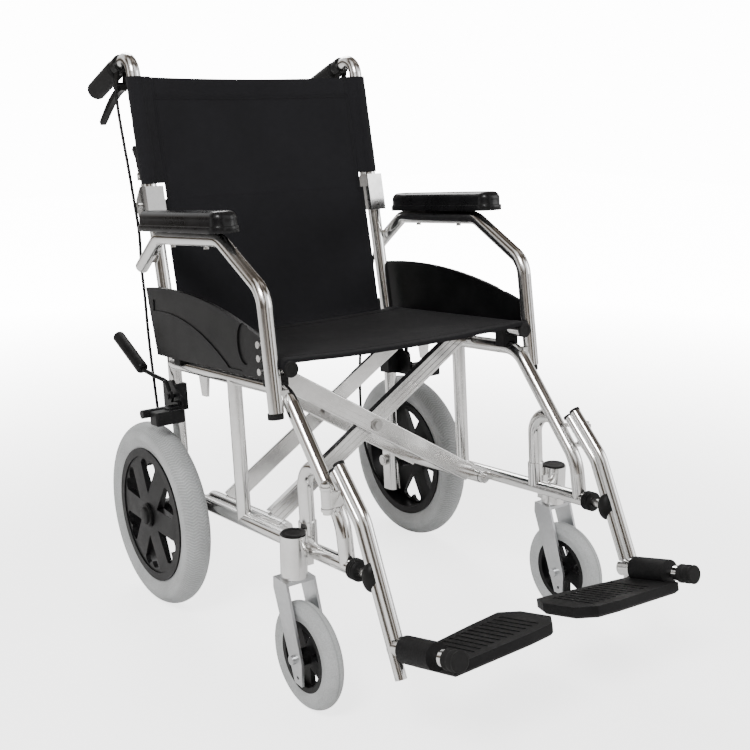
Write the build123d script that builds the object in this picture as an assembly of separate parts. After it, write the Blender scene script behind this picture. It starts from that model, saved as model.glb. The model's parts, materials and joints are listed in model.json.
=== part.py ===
"""Folding transit wheelchair with attendant brakes, as separate named pieces.

Millimetres, +Z up, the chair's front faces -Y and the user's left is +X.  The welded side frames are
drawn level: x is the distance from the middle plane, s runs to the rear from the rear axle and h is the
height.  The whole frame is then leaned back about the rear axle, while wheels, forks and caster housings
stay square to the ground.  At the end everything is shifted so that the origin is the middle of the
base of the overall box.
"""
from build123d import *
import math
import os

# ---------------------------------------------------------------- driving dimensions
SEAT_SLOPE = 5.0          # lean of the whole frame about the rear axle, degrees
WHEEL_R = 152.5           # 12 inch rear wheel
TUBE_R = 11.0             # 22 mm frame tube
FRAME_X = 217.0           # middle plane to the centre of a side frame
RAIL_H = 400.0            # seat rail
LOWER_H = 179.0           # lower rail
POST_S = -214.0           # middle post
CANE_S = -12.0            # back cane where it crosses the seat rail
CANE_LEAN = 8.2           # cane angle from the frame's upright
CANE_BEND_H = 440.0       # height where the cane starts to lean
FOLD_H = 655.0            # hinge that lets the upper back fold down
BACK_TOP_H = 858.0        # top edge of the back upholstery
HANDLE_H = 897.0          # top of the bend into the push handle
GRIP_DROP = 17.0          # fall of the push grip behind the bend, degrees
GRIP_LENGTH = 98.0
ARM_H = 606.0             # arm tube under the pad
PAD_LENGTH = 268.0
PAD_REAR_S = -20.0
PAD_WIDTH = 48.0
PAD_HEIGHT = 31.0
PANEL_THICK = 6.0
TYRE_R = 24.0             # half width of the rear tyre
WHEEL_X = 260.0           # rear wheel's middle plane
CASTER_R = 77.0           # 6 inch caster
CASTER_TYRE_R = 14.0
CASTER_X = 247.0
STEM_Y = -402.0           # caster stem, from the rear axle
CASTER_TRAIL = 34.0
HOUSING_R = 19.0
HOUSING_TOP = 245.0       # above the ground
HOUSING_LENGTH = 62.0
STEM_R = 12.0
PIVOT_GAP = 2.0           # cross brace tube to lower rail
SEAT_TUBE_RISE = 31.0     # seat tube above the seat rail
SEAT_FRONT_S = -381.0
SEAT_REAR_S = -30.0
BRACE_HEIGHT = 30.0
BRACE_THICK = 13.0
FLAT_BRACE_THICK = 6.0
BRACE_FRONT_S = -262.0
BRACE_REAR_S = -119.0
FABRIC = 4.0
RUNNING = 0.05            # radial clearance of a shaft that turns
PART_GAP = 0.4            # air between pieces that only come close
PLATE_X = 212.0           # footplate pin
PLATE_WIDTH = 191.0
PLATE_DEPTH = 116.0
PLATE_THICK = 16.0
PLATE_PIN_RISE = 10.4     # footplate pin rises towards the front, degrees
PLATE_CANT = 3.0          # footplate rises towards the middle, degrees
PIN_R = 7.0
BUMPER_R = 11.0
LOBE_R = 8.0              # one half of the twin footrest tube
LOBE_STEP = 15.0

# ---------------------------------------------------------------- derived places
ARM_X = FRAME_X + 2 * TUBE_R
PIVOT_X = FRAME_X - 2 * TUBE_R - PIVOT_GAP
SEAT_H = RAIL_H + SEAT_TUBE_RISE
STUB_S = -508.0
LEAN = math.tan(math.radians(CANE_LEAN))
NODES = {}
ALIGN_UP = (Align.CENTER, Align.CENTER, Align.MIN)


def cane_s(h):
    """Centre of the back cane at a height in the level frame."""
    return CANE_S + max(0.0, h - CANE_BEND_H) * LEAN


FOLD_S = cane_s(FOLD_H) + TUBE_R + 7.0
BRACE_RISE = math.degrees(math.atan2(SEAT_H - LOWER_H, PIVOT_X + FRAME_X))
CENTRE_H = LOWER_H + PIVOT_X * math.tan(math.radians(BRACE_RISE))
HINGE_X = FRAME_X + 22.0          # footrest hinge pin, outboard of the tubes
HINGE_S = -487.0
HINGE_H = 274.0
LUG_THICK = 4.0
PIVOT_R = 5.0
PLATE_PIN_S = -595.0
PLATE_PIN_H = 94.0
SHOE_PIVOT = (-46.0, 333.0)       # parking brake: s and h of the shoe's pivot
LEVER_PIVOT = (-34.0, 350.0)


def vec(x, s, h):
    """A point of the level frame."""
    return Vector(x, s, h)


def lean_back(shape):
    """Level frame to ground: turn about the rear axle so that the front rises."""
    return Pos(0, 0, WHEEL_R) * Rot(-SEAT_SLOPE, 0, 0) * Pos(0, 0, -WHEEL_R) * shape


def level(shape):
    """Ground to level frame, for pieces that fit to something square to the ground."""
    return Pos(0, 0, WHEEL_R) * Rot(SEAT_SLOPE, 0, 0) * Pos(0, 0, -WHEEL_R) * shape


def rod(start, end, radius):
    """Solid round bar between two points."""
    start, end = Vector(*start), Vector(*end)
    run = end - start
    plane = Plane(origin=start, z_dir=run)
    return plane * Cylinder(radius, run.length, align=ALIGN_UP)


def bent_tube(points, bends, radius):
    """Round bar along straight runs joined by tangent arcs."""
    path = FilletPolyline(*points, radius=bends) if len(points) > 2 else Line(*points)
    return sweep(Plane(origin=path @ 0, z_dir=path % 0) * Circle(radius), path=path)


def box(x, s, h):
    """Box from (low, high) pairs."""
    sizes = [high - low for low, high in (x, s, h)]
    middles = [(high + low) / 2 for low, high in (x, s, h)]
    return Pos(*middles) * Box(*sizes)


def soft_edges(shape, radius):
    """Round every edge of a simple block."""
    return fillet(shape.edges(), radius)


def plate_yz(outline, x_low, x_high):
    """Flat plate from an outline of (s, h) corners, standing between two x planes."""
    face = make_face(Polyline(*[(x_low, s, h) for s, h in outline], close=True))
    return extrude(face, amount=x_high - x_low, dir=(1, 0, 0))


def fuse(*shapes):
    """One solid from several that meet."""
    whole = shapes[0]
    for shape in shapes[1:]:
        whole = whole + shape
    return whole


def add(name, shape):
    """Keep one node; it is written at the end."""
    NODES[name] = shape


def both_sides(name, shape):
    """The user's left piece as drawn and its mirror image on the right."""
    add(name + "_left", shape)
    add(name + "_right", mirror(shape, about=Plane.YZ))


# ---------------------------------------------------------------- welded side frame
def front_tube_points():
    """Seat rail that bends down at the knee to the end of the lower rail."""
    return [vec(FRAME_X, CANE_S, RAIL_H), vec(FRAME_X, -362, RAIL_H),
            vec(FRAME_X, -488, RAIL_H - 162), vec(FRAME_X, STUB_S + 14, LOWER_H)]


def caster_housing():
    """Upright steel tube that the caster stem turns in, square to the ground."""
    bottom = HOUSING_TOP - HOUSING_LENGTH
    tube = Cylinder(HOUSING_R, HOUSING_LENGTH, align=ALIGN_UP)
    return Pos(CASTER_X, STEM_Y, bottom) * tube


def housing_bore():
    bottom = HOUSING_TOP - HOUSING_LENGTH
    bore = Cylinder(STEM_R, HOUSING_LENGTH + 20, align=ALIGN_UP)
    return Pos(CASTER_X, STEM_Y, bottom - 10) * bore


def hinge_lug(low):
    """Flat ear from the outboard side of the front tube to the footrest's hinge pin."""
    tube_s = -362 - (RAIL_H - low) * 126 / 162
    outline = Polyline((FRAME_X, tube_s + 8, low), (FRAME_X, tube_s - 4, low), (HINGE_X - 7, HINGE_S - 7, low),
                       (HINGE_X + 4, HINGE_S + 8, low), close=True)
    ear = extrude(make_face(outline), amount=LUG_THICK, dir=(0, 0, 1))
    return ear + rod((HINGE_X, HINGE_S, low), (HINGE_X, HINGE_S, low + LUG_THICK), 9)


def pivot_fittings():
    """End blocks on the lower rail with the rod that the cross brace's tube turns on."""
    blocks = []
    for low in (-73, -300):
        high = low + 7
        blocks.append(rod((PIVOT_X, low, LOWER_H), (PIVOT_X, high, LOWER_H), TUBE_R - 1))
        blocks.append(box((PIVOT_X, FRAME_X - 4), (low, high), (LOWER_H - 6, LOWER_H + 6)))
    axle = rod((PIVOT_X, -60, LOWER_H), (PIVOT_X, -306, LOWER_H), PIVOT_R)
    return fuse(*blocks, axle)


def side_frame():
    rail = bent_tube(front_tube_points(), [48, 70], TUBE_R)
    lower = rod((FRAME_X, CANE_S, LOWER_H), (FRAME_X, STUB_S, LOWER_H), TUBE_R)
    post = rod((FRAME_X, POST_S, LOWER_H), (FRAME_X, POST_S, RAIL_H), TUBE_R)
    cane = bent_tube([vec(FRAME_X, CANE_S, 250), vec(FRAME_X, CANE_S, CANE_BEND_H),
                      vec(FRAME_X, cane_s(FOLD_H), FOLD_H)], [150], TUBE_R)
    drop = Pos(FRAME_X, 0, (95 + 262) / 2) * fillet(Box(22, 34, 167).edges().filter_by(Axis.Z), 10)
    branch = bent_tube([vec(FRAME_X, -438, 300), vec(FRAME_X, -398, 300), vec(FRAME_X, -398, LOWER_H)],
                       [32], TUBE_R)
    sleeve = rod((FRAME_X, -398, LOWER_H + 4), (FRAME_X, -398, LOWER_H + 40), TUBE_R + 2)
    knuckle = level(Pos(FRAME_X + 14, STEM_Y, HOUSING_TOP - 30) * Box(26, 12, 40))
    lugs = [hinge_lug(h) for h in (HINGE_H + 12.5, HINGE_H - 16.5)]
    pin = rod((HINGE_X, HINGE_S, HINGE_H - 21), (HINGE_X, HINGE_S, HINGE_H + 21), 4)
    heads = [rod((HINGE_X, HINGE_S, h), (HINGE_X, HINGE_S, h + 4), 6.5) for h in (HINGE_H - 21, HINGE_H + 17)]
    brake_lug = plate_yz([(-100, RAIL_H), (-132, RAIL_H), (-124, RAIL_H - 42), (-108, RAIL_H - 42)],
                         FRAME_X - 2.5, FRAME_X + 2.5)
    frame = fuse(rail, lower, post, cane, drop, branch, sleeve, knuckle, *lugs, pin, *heads,
                 brake_lug, pivot_fittings())
    frame = frame - rod((FRAME_X - 30, 0, WHEEL_R), (FRAME_X + 30, 0, WHEEL_R), 6)
    frame = lean_back(frame) + caster_housing()
    return level(frame - housing_bore())


FRAME_SOLID = side_frame()
both_sides("side_frame", lean_back(FRAME_SOLID))


# ---------------------------------------------------------------- arm tube, pad and side panel
def arm_tube():
    points = [vec(ARM_X, 32, ARM_H - 50), vec(ARM_X, -42, ARM_H), vec(ARM_X, -246, ARM_H),
              vec(ARM_X, -357, ARM_H - 68), vec(ARM_X, -371, RAIL_H - 28)]
    return bent_tube(points, [26, 40, 42], TUBE_R)


ARM_SOLID = arm_tube()


def arm_with_welds():
    high = box((FRAME_X + 4, ARM_X - 4), (cane_s(575) - 7, cane_s(575) + 7), (564, 582))
    low = box((FRAME_X + 2, ARM_X - 4), (-374, -362), (RAIL_H - 14, RAIL_H + 2))
    return fuse(ARM_SOLID, high, low) - FRAME_SOLID


both_sides("arm_tube", lean_back(arm_with_welds()))


def arm_pad():
    """Moulded pad: a flat base with a lip and a crowned top, rounded at both ends."""
    low = ARM_H + TUBE_R + PART_GAP
    front, rear = PAD_REAR_S - PAD_LENGTH, PAD_REAR_S
    middle_x = ARM_X + PAD_WIDTH / 2 - 17
    middle_s = (front + rear) / 2
    base = extrude(Pos(middle_x, middle_s, low) * RectangleRounded(PAD_WIDTH, PAD_LENGTH, 20), amount=11)
    top = extrude(Pos(middle_x, middle_s, low + 11) * RectangleRounded(PAD_WIDTH - 3, PAD_LENGTH - 3, 19),
                  amount=PAD_HEIGHT - 11)
    top = fillet(top.edges().group_by(Axis.Z)[-1], 13)
    return base + top


both_sides("arm_pad", lean_back(arm_pad()))

PANEL_X = ARM_X + 1.0
PANEL_BOTTOM_H = RAIL_H + TUBE_R + 5


def side_panel():
    """Moulded skirt guard with a swept band and an oval recess, its front edge against the arm tube."""
    with BuildSketch(Plane.YZ) as outline:
        with BuildLine():
            rear_low = (-8, PANEL_BOTTOM_H)
            rear_high = (16, 524)
            front_high = (-360, 470)
            front_low = (-360, PANEL_BOTTOM_H)
            Line(rear_low, rear_high)
            ThreePointArc(rear_high, (-160, 519), front_high)
            Line(front_high, front_low)
            Line(front_low, rear_low)
        make_face()
    plate = Pos(PANEL_X - PANEL_THICK / 2, 0, 0) * extrude(outline.sketch, amount=PANEL_THICK)
    face_x = PANEL_X + PANEL_THICK / 2
    with BuildSketch(Plane.YZ) as band:
        with BuildLine():
            upper = ThreePointArc((-8, 506), (-170, 488), (-290, PANEL_BOTTOM_H + 6))
            lower = ThreePointArc((-250, PANEL_BOTTOM_H + 6), (-150, 470), (-6, 488))
            Line(upper @ 1, lower @ 0)
            Line(lower @ 1, upper @ 0)
        make_face()
    plate = plate - Pos(face_x - 1.6, 0, 0) * extrude(band.sketch, amount=5)
    with BuildSketch(Plane.YZ) as oval:
        with Locations((-300, 462)):
            Ellipse(20, 30)
    plate = plate - Pos(face_x - 2.2, 0, 0) * extrude(oval.sketch, amount=5)
    return plate - arm_with_welds()


both_sides("side_panel", lean_back(side_panel()))

PANEL_FACE = PANEL_X + PANEL_THICK / 2


def panel_fasteners():
    """Three clip bolts along the panel's front edge and two screws under the arm pad."""
    bolts = [rod((PANEL_FACE, -344, h), (PANEL_FACE + 4, -344, h), 5) for h in (427, 446, 465)]
    low = ARM_H - TUBE_R - 3
    screws = [rod((ARM_X, s, low), (ARM_X, s, low + 3), 4) - ARM_SOLID for s in (-90, -200)]
    return Compound(children=bolts + screws)


both_sides("panel_fasteners", lean_back(panel_fasteners()))


# ---------------------------------------------------------------- seat saddles
SADDLE_FIT = 0.05                # between a saddle and the rail that it stands on
SADDLE_S = (-337.0, -54.0)
SADDLE_HALF = 11.0
SADDLE_WIDE = 15.0


def seat_saddles():
    """Black blocks on the seat rail that the seat tube drops into."""
    blocks = []
    for s in SADDLE_S:
        body = box((FRAME_X - SADDLE_WIDE, FRAME_X + SADDLE_WIDE), (s - SADDLE_HALF, s + SADDLE_HALF),
                   (RAIL_H + 2, SEAT_H))
        body = soft_edges(body, 1.5)
        body = body - rod((FRAME_X, s - 20, RAIL_H), (FRAME_X, s + 20, RAIL_H), TUBE_R + SADDLE_FIT)
        body = body - rod((FRAME_X, s - 20, SEAT_H), (FRAME_X, s + 20, SEAT_H), TUBE_R + PART_GAP)
        blocks.append(body - box((FRAME_X - TUBE_R - PART_GAP, FRAME_X + TUBE_R + PART_GAP),
                                 (s - 20, s + 20), (SEAT_H, SEAT_H + 20)))
    return Compound(children=blocks)


both_sides("seat_saddles", lean_back(seat_saddles()))


# ---------------------------------------------------------------- rear wheel, square to the ground
def revolve_about_axle(points, x, y, z):
    """Ring from an outline of (offset along the axle, radius) corners."""
    face = make_face(Polyline(*[(offset, 0, radius) for offset, radius in points], close=True))
    return Pos(x, y, z) * revolve(face, axis=Axis.X, revolution_arc=360)


def tyre(radius, half_width, seat_radius, seat_half, x, y, z):
    """Solid tyre: a round tread on a narrower flat seat."""
    tread = radius - half_width
    with BuildSketch(Plane.XZ) as section:
        with BuildLine():
            Line((-seat_half, seat_radius), (seat_half, seat_radius))
            Line((seat_half, seat_radius), (half_width, tread))
            ThreePointArc((half_width, tread), (0, radius), (-half_width, tread))
            Line((-half_width, tread), (-seat_half, seat_radius))
        make_face()
    return Pos(x, y, z) * revolve(section.sketch, axis=Axis.X, revolution_arc=360)


RIM_SEAT = 111.0
AXLE_R = 6.0
HUB_R = 20.0


def heart(radius_in, radius_out, half_width, turn):
    """Window between two spokes: its point to the hub, two round lobes to the rim."""
    lobe = half_width / 2
    with BuildSketch(Plane.YZ) as window:
        with BuildLine():
            Line((0, radius_in), (half_width, radius_out - lobe))
            RadiusArc((half_width, radius_out - lobe), (0, radius_out - lobe * 0.9), -lobe * 1.05)
            RadiusArc((0, radius_out - lobe * 0.9), (-half_width, radius_out - lobe), -lobe * 1.05)
            Line((-half_width, radius_out - lobe), (0, radius_in))
        make_face()
    return Rot(turn, 0, 0) * extrude(window.sketch, amount=60, both=True)


def rear_rim():
    ring = revolve_about_axle([(-19, RIM_SEAT - 13), (-19, RIM_SEAT), (19, RIM_SEAT),
                               (19, RIM_SEAT - 13)], 0, 0, 0)
    web = revolve_about_axle([(6, HUB_R - 4), (10, RIM_SEAT - 12), (17, RIM_SEAT - 12), (20, HUB_R - 4)],
                             0, 0, 0)
    for index in range(6):
        web = web - heart(36, 96, 26, index * 60)
    hub = rod((-26, 0, 0), (23, 0, 0), HUB_R)
    rim = fuse(ring, web, hub) - rod((-40, 0, 0), (40, 0, 0), AXLE_R + RUNNING)
    return Pos(WHEEL_X, 0, WHEEL_R) * rim


both_sides("rear_rim", rear_rim())
both_sides("rear_tyre", tyre(WHEEL_R, TYRE_R, RIM_SEAT, 16, WHEEL_X, 0, WHEEL_R))


def rear_axle():
    """Axle bolt through the frame drop, its head outboard and its nut inboard, and the frame's two bolts."""
    shaft = rod((FRAME_X - 20, 0, WHEEL_R), (WHEEL_X + 24, 0, WHEEL_R), AXLE_R)
    head = rod((WHEEL_X + 23.3, 0, WHEEL_R), (WHEEL_X + 29, 0, WHEEL_R), 10)
    nut = rod((FRAME_X - 19, 0, WHEEL_R), (FRAME_X - 11, 0, WHEEL_R), 10)
    return fuse(shaft, head, nut)


both_sides("rear_axle", rear_axle())


# ---------------------------------------------------------------- caster, square to the ground
AXLE_Z = CASTER_R
WHEEL_Y = STEM_Y - CASTER_TRAIL
CROWN_TOP = HOUSING_TOP - HOUSING_LENGTH - PART_GAP
LEG_IN = CASTER_TYRE_R + 6.0
LEG_OUT = LEG_IN + 4.0


def caster_fork():
    """Stem, crown and two flat legs that slant forward to the axle; the axle bolt is its own solid."""
    stem = rod((CASTER_X, STEM_Y, CROWN_TOP - 6), (CASTER_X, STEM_Y, HOUSING_TOP - 4), STEM_R - RUNNING)
    crown = box((CASTER_X - LEG_OUT, CASTER_X + LEG_OUT), (STEM_Y - 17, STEM_Y + 17),
                (CROWN_TOP - 5, CROWN_TOP))
    side = [(STEM_Y - 17, CROWN_TOP), (STEM_Y + 17, CROWN_TOP), (STEM_Y + 17, CROWN_TOP - 16),
            (WHEEL_Y - 2, 44), (WHEEL_Y - 20, 44), (WHEEL_Y - 20, 78)]
    legs = [plate_yz(side, CASTER_X + low, CASTER_X + high) for low, high in ((-LEG_OUT, -LEG_IN),
                                                                             (LEG_IN, LEG_OUT))]
    fork = fuse(stem, crown, *legs)
    fork = fork - rod((CASTER_X - 40, WHEEL_Y, AXLE_Z), (CASTER_X + 40, WHEEL_Y, AXLE_Z), 4)
    fork = fork - rod((CASTER_X - 40, WHEEL_Y - 10, 54), (CASTER_X + 40, WHEEL_Y - 10, 54), 2.5)
    end = LEG_OUT
    bolt = fuse(rod((CASTER_X - end - 5, WHEEL_Y, AXLE_Z), (CASTER_X + end + 5, WHEEL_Y, AXLE_Z), 4),
                rod((CASTER_X - end - 5, WHEEL_Y, AXLE_Z), (CASTER_X - end, WHEEL_Y, AXLE_Z), 6.5),
                rod((CASTER_X + end, WHEEL_Y, AXLE_Z), (CASTER_X + end + 5, WHEEL_Y, AXLE_Z), 6.5))
    return Compound(children=[fork, bolt])


both_sides("caster_fork", caster_fork())
CASTER_SEAT = 51.0


def caster_rim():
    ring = revolve_about_axle([(-11, CASTER_SEAT - 8), (-11, CASTER_SEAT), (11, CASTER_SEAT),
                               (11, CASTER_SEAT - 8)], 0, 0, 0)
    web = revolve_about_axle([(-4, 10), (-3.5, CASTER_SEAT - 7), (3.5, CASTER_SEAT - 7), (4, 10)], 0, 0, 0)
    for index in range(5):
        web = web - heart(17, 43, 12, index * 72)
    hub = rod((-LEG_IN + 1, 0, 0), (LEG_IN - 1, 0, 0), 12)
    rim = fuse(ring, web, hub) - rod((-40, 0, 0), (40, 0, 0), 4 + RUNNING)
    return Pos(CASTER_X, WHEEL_Y, AXLE_Z) * rim


both_sides("caster_rim", caster_rim())
both_sides("caster_tyre", tyre(CASTER_R, CASTER_TYRE_R, CASTER_SEAT, 11, CASTER_X, WHEEL_Y, AXLE_Z))


# ---------------------------------------------------------------- upper back: cane, hinge, lever, grip


def handle_points():
    top = vec(FRAME_X, cane_s(HANDLE_H + 10), HANDLE_H + 10 - TUBE_R)
    drop = math.radians(GRIP_DROP)
    reach = 58 + GRIP_LENGTH
    end = vec(FRAME_X, top.Y + reach * math.cos(drop), top.Z - reach * math.sin(drop))
    return top, end


HANDLE_TOP, HANDLE_END = handle_points()
CANE_GAP = 2.0
CATCH_S = FOLD_S + 8.0            # pivot of the release lever
CATCH_H = FOLD_H + 46.0
CATCH_PIN_R = 2.5


def back_cane():
    """Upper cane with the push handle bent from it, and the hinge knuckle welded behind its foot."""
    foot = FOLD_H + CANE_GAP
    tube = bent_tube([vec(FRAME_X, cane_s(foot), foot), HANDLE_TOP, HANDLE_END], [26], TUBE_R)
    knuckle = fuse(rod((FRAME_X - 7, FOLD_S, FOLD_H), (FRAME_X + 7, FOLD_S, FOLD_H), 7),
                   box((FRAME_X - 7, FRAME_X + 7), (cane_s(FOLD_H + 20), FOLD_S + 6), (FOLD_H + 4, FOLD_H + 34)))
    ears = [box((FRAME_X + near, FRAME_X + far), (cane_s(CATCH_H), CATCH_S + 5), (CATCH_H - 6, CATCH_H + 6))
            for near, far in ((-9, -6.4), (6.4, 9))]
    catch_pin = rod((FRAME_X - 10, CATCH_S, CATCH_H), (FRAME_X + 10, CATCH_S, CATCH_H), CATCH_PIN_R)
    cane = fuse(tube, knuckle, *ears, catch_pin)
    return cane - rod((FRAME_X - 20, FOLD_S, FOLD_H), (FRAME_X + 20, FOLD_S, FOLD_H), 3 + RUNNING)


both_sides("back_cane", lean_back(back_cane()))


def fold_bracket():
    """Channel on the lower cane whose cheeks carry the hinge pin."""
    low, high = FOLD_H - 34, FOLD_H + 30
    cheeks = []
    for inner, outer in ((-15.5, -12.5), (12.5, 15.5)):
        cheeks.append(plate_yz([(cane_s(low) - 13, low), (cane_s(low) + 20, low), (FOLD_S + 10, FOLD_H - 9),
                                (FOLD_S + 10, FOLD_H + 9), (cane_s(high) + 6, high),
                                (cane_s(high) - 13, high)],
                               FRAME_X + inner, FRAME_X + outer))
    front = plate_yz([(cane_s(low) - 16, low), (cane_s(low) - 13, low), (cane_s(high) - 13, high),
                      (cane_s(high) - 16, high)], FRAME_X - 15.5, FRAME_X + 15.5)
    fill = plate_yz([(cane_s(low) - 13, low), (cane_s(low), low), (cane_s(FOLD_H - 14), FOLD_H - 14),
                     (cane_s(FOLD_H - 14) - 13, FOLD_H - 14)], FRAME_X - 12.5, FRAME_X + 12.5)
    pin = fuse(rod((FRAME_X - 19, FOLD_S, FOLD_H), (FRAME_X + 19, FOLD_S, FOLD_H), 3),
               rod((FRAME_X - 19, FOLD_S, FOLD_H), (FRAME_X - 15.5, FOLD_S, FOLD_H), 6),
               rod((FRAME_X + 15.5, FOLD_S, FOLD_H), (FRAME_X + 19, FOLD_S, FOLD_H), 6))
    return fuse(*cheeks, front, fill, pin) - FRAME_SOLID


both_sides("fold_bracket", lean_back(fold_bracket()))


def fold_lever():
    """Black release lever on the upper cane, pivoted behind the knuckle and pointing up."""
    foot = rod((FRAME_X - 6, CATCH_S, CATCH_H), (FRAME_X + 6, CATCH_S, CATCH_H), 6)
    blade = plate_yz([(CATCH_S - 5, CATCH_H), (CATCH_S + 5, CATCH_H - 2), (CATCH_S + 14, CATCH_H + 30),
                      (CATCH_S + 24, CATCH_H + 44), (CATCH_S + 18, CATCH_H + 50), (CATCH_S + 6, CATCH_H + 36)],
                     FRAME_X - 6, FRAME_X + 6)
    return foot + blade - rod((FRAME_X - 20, CATCH_S, CATCH_H), (FRAME_X + 20, CATCH_S, CATCH_H),
                              CATCH_PIN_R + RUNNING)


both_sides("fold_lever", lean_back(fold_lever()))


def push_grip():
    """Moulded grip with finger ridges pushed over the end of the handle."""
    run = (HANDLE_END - HANDLE_TOP).normalized()
    start = HANDLE_END - run * (GRIP_LENGTH - 4)
    grip = rod(start, HANDLE_END + run * 5, TUBE_R + 5)
    grip = fillet(grip.edges(), 4)
    for index in range(4):
        middle = start + run * (26 + index * 20)
        groove = Plane(origin=middle, z_dir=run) * Torus(TUBE_R + 9, 6)
        grip = grip - groove
    return grip - rod(start - run * 5, HANDLE_END, TUBE_R)


both_sides("push_grip", lean_back(push_grip()))


# ---------------------------------------------------------------- attendant brake
def on_handle(along, below):
    """A point measured along the handle from its bend, and square below it."""
    run = (HANDLE_END - HANDLE_TOP).normalized()
    down = Vector(0, -abs(run.Z), -abs(run.Y)) if run.Z < 0 else Vector(0, abs(run.Z), -abs(run.Y))
    return HANDLE_TOP + run * along + down * below


HAND_PIVOT = on_handle(62, 31)
BARREL_TOP = on_handle(44, 36)


def brake_clamp():
    """Band round the handle with a fork below it for the lever, and the barrel that ends the cable."""
    band = rod(on_handle(40, 0), on_handle(54, 0), TUBE_R + 4)
    cheeks = [rod((FRAME_X + low, HAND_PIVOT.Y, HAND_PIVOT.Z), (FRAME_X + high, HAND_PIVOT.Y, HAND_PIVOT.Z), 8)
              for low, high in ((-9, -5.4), (5.4, 9))]
    webs = []
    for low, high in ((-9, -5.4), (5.4, 9)):
        a, b = on_handle(40, 12), on_handle(54, 12)
        webs.append(plate_yz([(a.Y, a.Z), (b.Y, b.Z), (HAND_PIVOT.Y + 7, HAND_PIVOT.Z),
                              (HAND_PIVOT.Y - 7, HAND_PIVOT.Z)], FRAME_X + low, FRAME_X + high))
    pin = rod((FRAME_X - 10, HAND_PIVOT.Y, HAND_PIVOT.Z), (FRAME_X + 10, HAND_PIVOT.Y, HAND_PIVOT.Z), 3)
    clamp = fuse(band, *cheeks, *webs, pin)
    return clamp - rod(on_handle(30, 0), on_handle(80, 0), TUBE_R)


both_sides("brake_clamp", lean_back(brake_clamp()))


def brake_lever():
    """Hand lever: a hub in the clamp's fork and a curved blade that falls away below the grip."""
    hub = rod((FRAME_X - 5, HAND_PIVOT.Y, HAND_PIVOT.Z), (FRAME_X + 5, HAND_PIVOT.Y, HAND_PIVOT.Z), 6.5)
    upper = [on_handle(52, 32), on_handle(100, 34), on_handle(140, 46), on_handle(162, 54)]
    lower = [on_handle(160, 61), on_handle(138, 55), on_handle(98, 44), on_handle(50, 42)]
    with BuildSketch(Plane.YZ) as blade:
        with BuildLine():
            top = Spline(*[(point.Y, point.Z) for point in upper])
            bottom = Spline(*[(point.Y, point.Z) for point in lower])
            Line(top @ 1, bottom @ 0)
            Line(bottom @ 1, top @ 0)
        make_face()
    arm = Pos(FRAME_X - 5, 0, 0) * extrude(blade.sketch, amount=10)
    lever = hub + arm
    return lever - rod((FRAME_X - 20, HAND_PIVOT.Y, HAND_PIVOT.Z), (FRAME_X + 20, HAND_PIVOT.Y, HAND_PIVOT.Z),
                       3 + RUNNING)


both_sides("brake_lever", lean_back(brake_lever()))
CABLE_R = 2.5
CABLE_X = FRAME_X + 17.0


def cable_route_upper():
    """From the clamp's barrel down outboard of the cane to the fold hinge line."""
    return [vec(CABLE_X, BARREL_TOP.Y, BARREL_TOP.Z), vec(CABLE_X + 2, BARREL_TOP.Y - 8, 806),
            vec(CABLE_X + 5, FOLD_S + 24, 756), vec(CABLE_X + 6, FOLD_S + 10, 706), vec(CABLE_X + 6, FOLD_S, FOLD_H)]


def cable_route_lower():
    """From the hinge line down behind the cane, then forward in a loop to the hub brake."""
    inner = FRAME_X - 8.0
    return [vec(CABLE_X + 6, FOLD_S, FOLD_H), vec(CABLE_X + 6, FOLD_S - 9, FOLD_H - 46),
            vec(CABLE_X + 3, FOLD_S + 3, 558), vec(CABLE_X - 4, FOLD_S + 14, 505), vec(CABLE_X - 10, FOLD_S + 28, 450),
            vec(CABLE_X - 16, FOLD_S + 38, 394), vec(CABLE_X - 21, FOLD_S + 43, 336),
            vec(inner + 1, FOLD_S + 44, 278), vec(inner, FOLD_S + 43, 220), vec(inner, FOLD_S + 36, 166),
            vec(inner, FOLD_S + 12, 120), vec(inner, 30, 106)]


def cord_radii(points):
    """Each corner's arc: 0.45 of the shorter run over the tangent of half the turn."""
    radii = []
    for before, here, after in zip(points, points[1:], points[2:]):
        into, out = here - before, after - here
        turn = math.radians(into.get_angle(out))
        radii.append(0.45 * min(into.length, out.length) / math.tan(turn / 2))
    return radii


def cable(points, label):
    radii = cord_radii(points)
    print(label, "radii", [round(value) for value in radii])
    path = FilletPolyline(*points, radius=radii)
    solid = sweep(Plane(origin=path @ 0, z_dir=path % 0) * Circle(CABLE_R), path=path)
    print(label, "length", round(path.length, 1), "volume ratio",
          round(solid.volume / (math.pi * CABLE_R ** 2 * path.length), 4))
    return solid


both_sides("brake_cable_upper", lean_back(cable(cable_route_upper(), "upper cable")))
both_sides("brake_cable_lower", lean_back(cable(cable_route_lower(), "lower cable")))


# ---------------------------------------------------------------- parking brake
def park_bracket():
    """Black plate clamped outboard of the leg, with studs for the lever and the shoe arm."""
    plate = plate_yz([(-58, 318), (8, 318), (8, 372), (-24, 372), (-58, 350)], FRAME_X + 11.5, FRAME_X + 14.5)
    clamp = box((FRAME_X - 13, FRAME_X + 14.5), (CANE_S - 13, CANE_S + 13), (322, 366))
    clamp = clamp - rod((FRAME_X, CANE_S, 300), (FRAME_X, CANE_S, 380), TUBE_R)
    studs = [rod((FRAME_X + 14, s, h), (FRAME_X + reach - 1, s, h), 3)
             for (s, h), reach in ((SHOE_PIVOT, 24), (LEVER_PIVOT, 28.5))]
    heads = [rod((FRAME_X + reach - 2, s, h), (FRAME_X + reach, s, h), 5)
             for (s, h), reach in ((SHOE_PIVOT, 24), (LEVER_PIVOT, 28.5))]
    return fuse(plate, clamp, *studs, *heads)


both_sides("park_brake_bracket", lean_back(park_bracket()))


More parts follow.
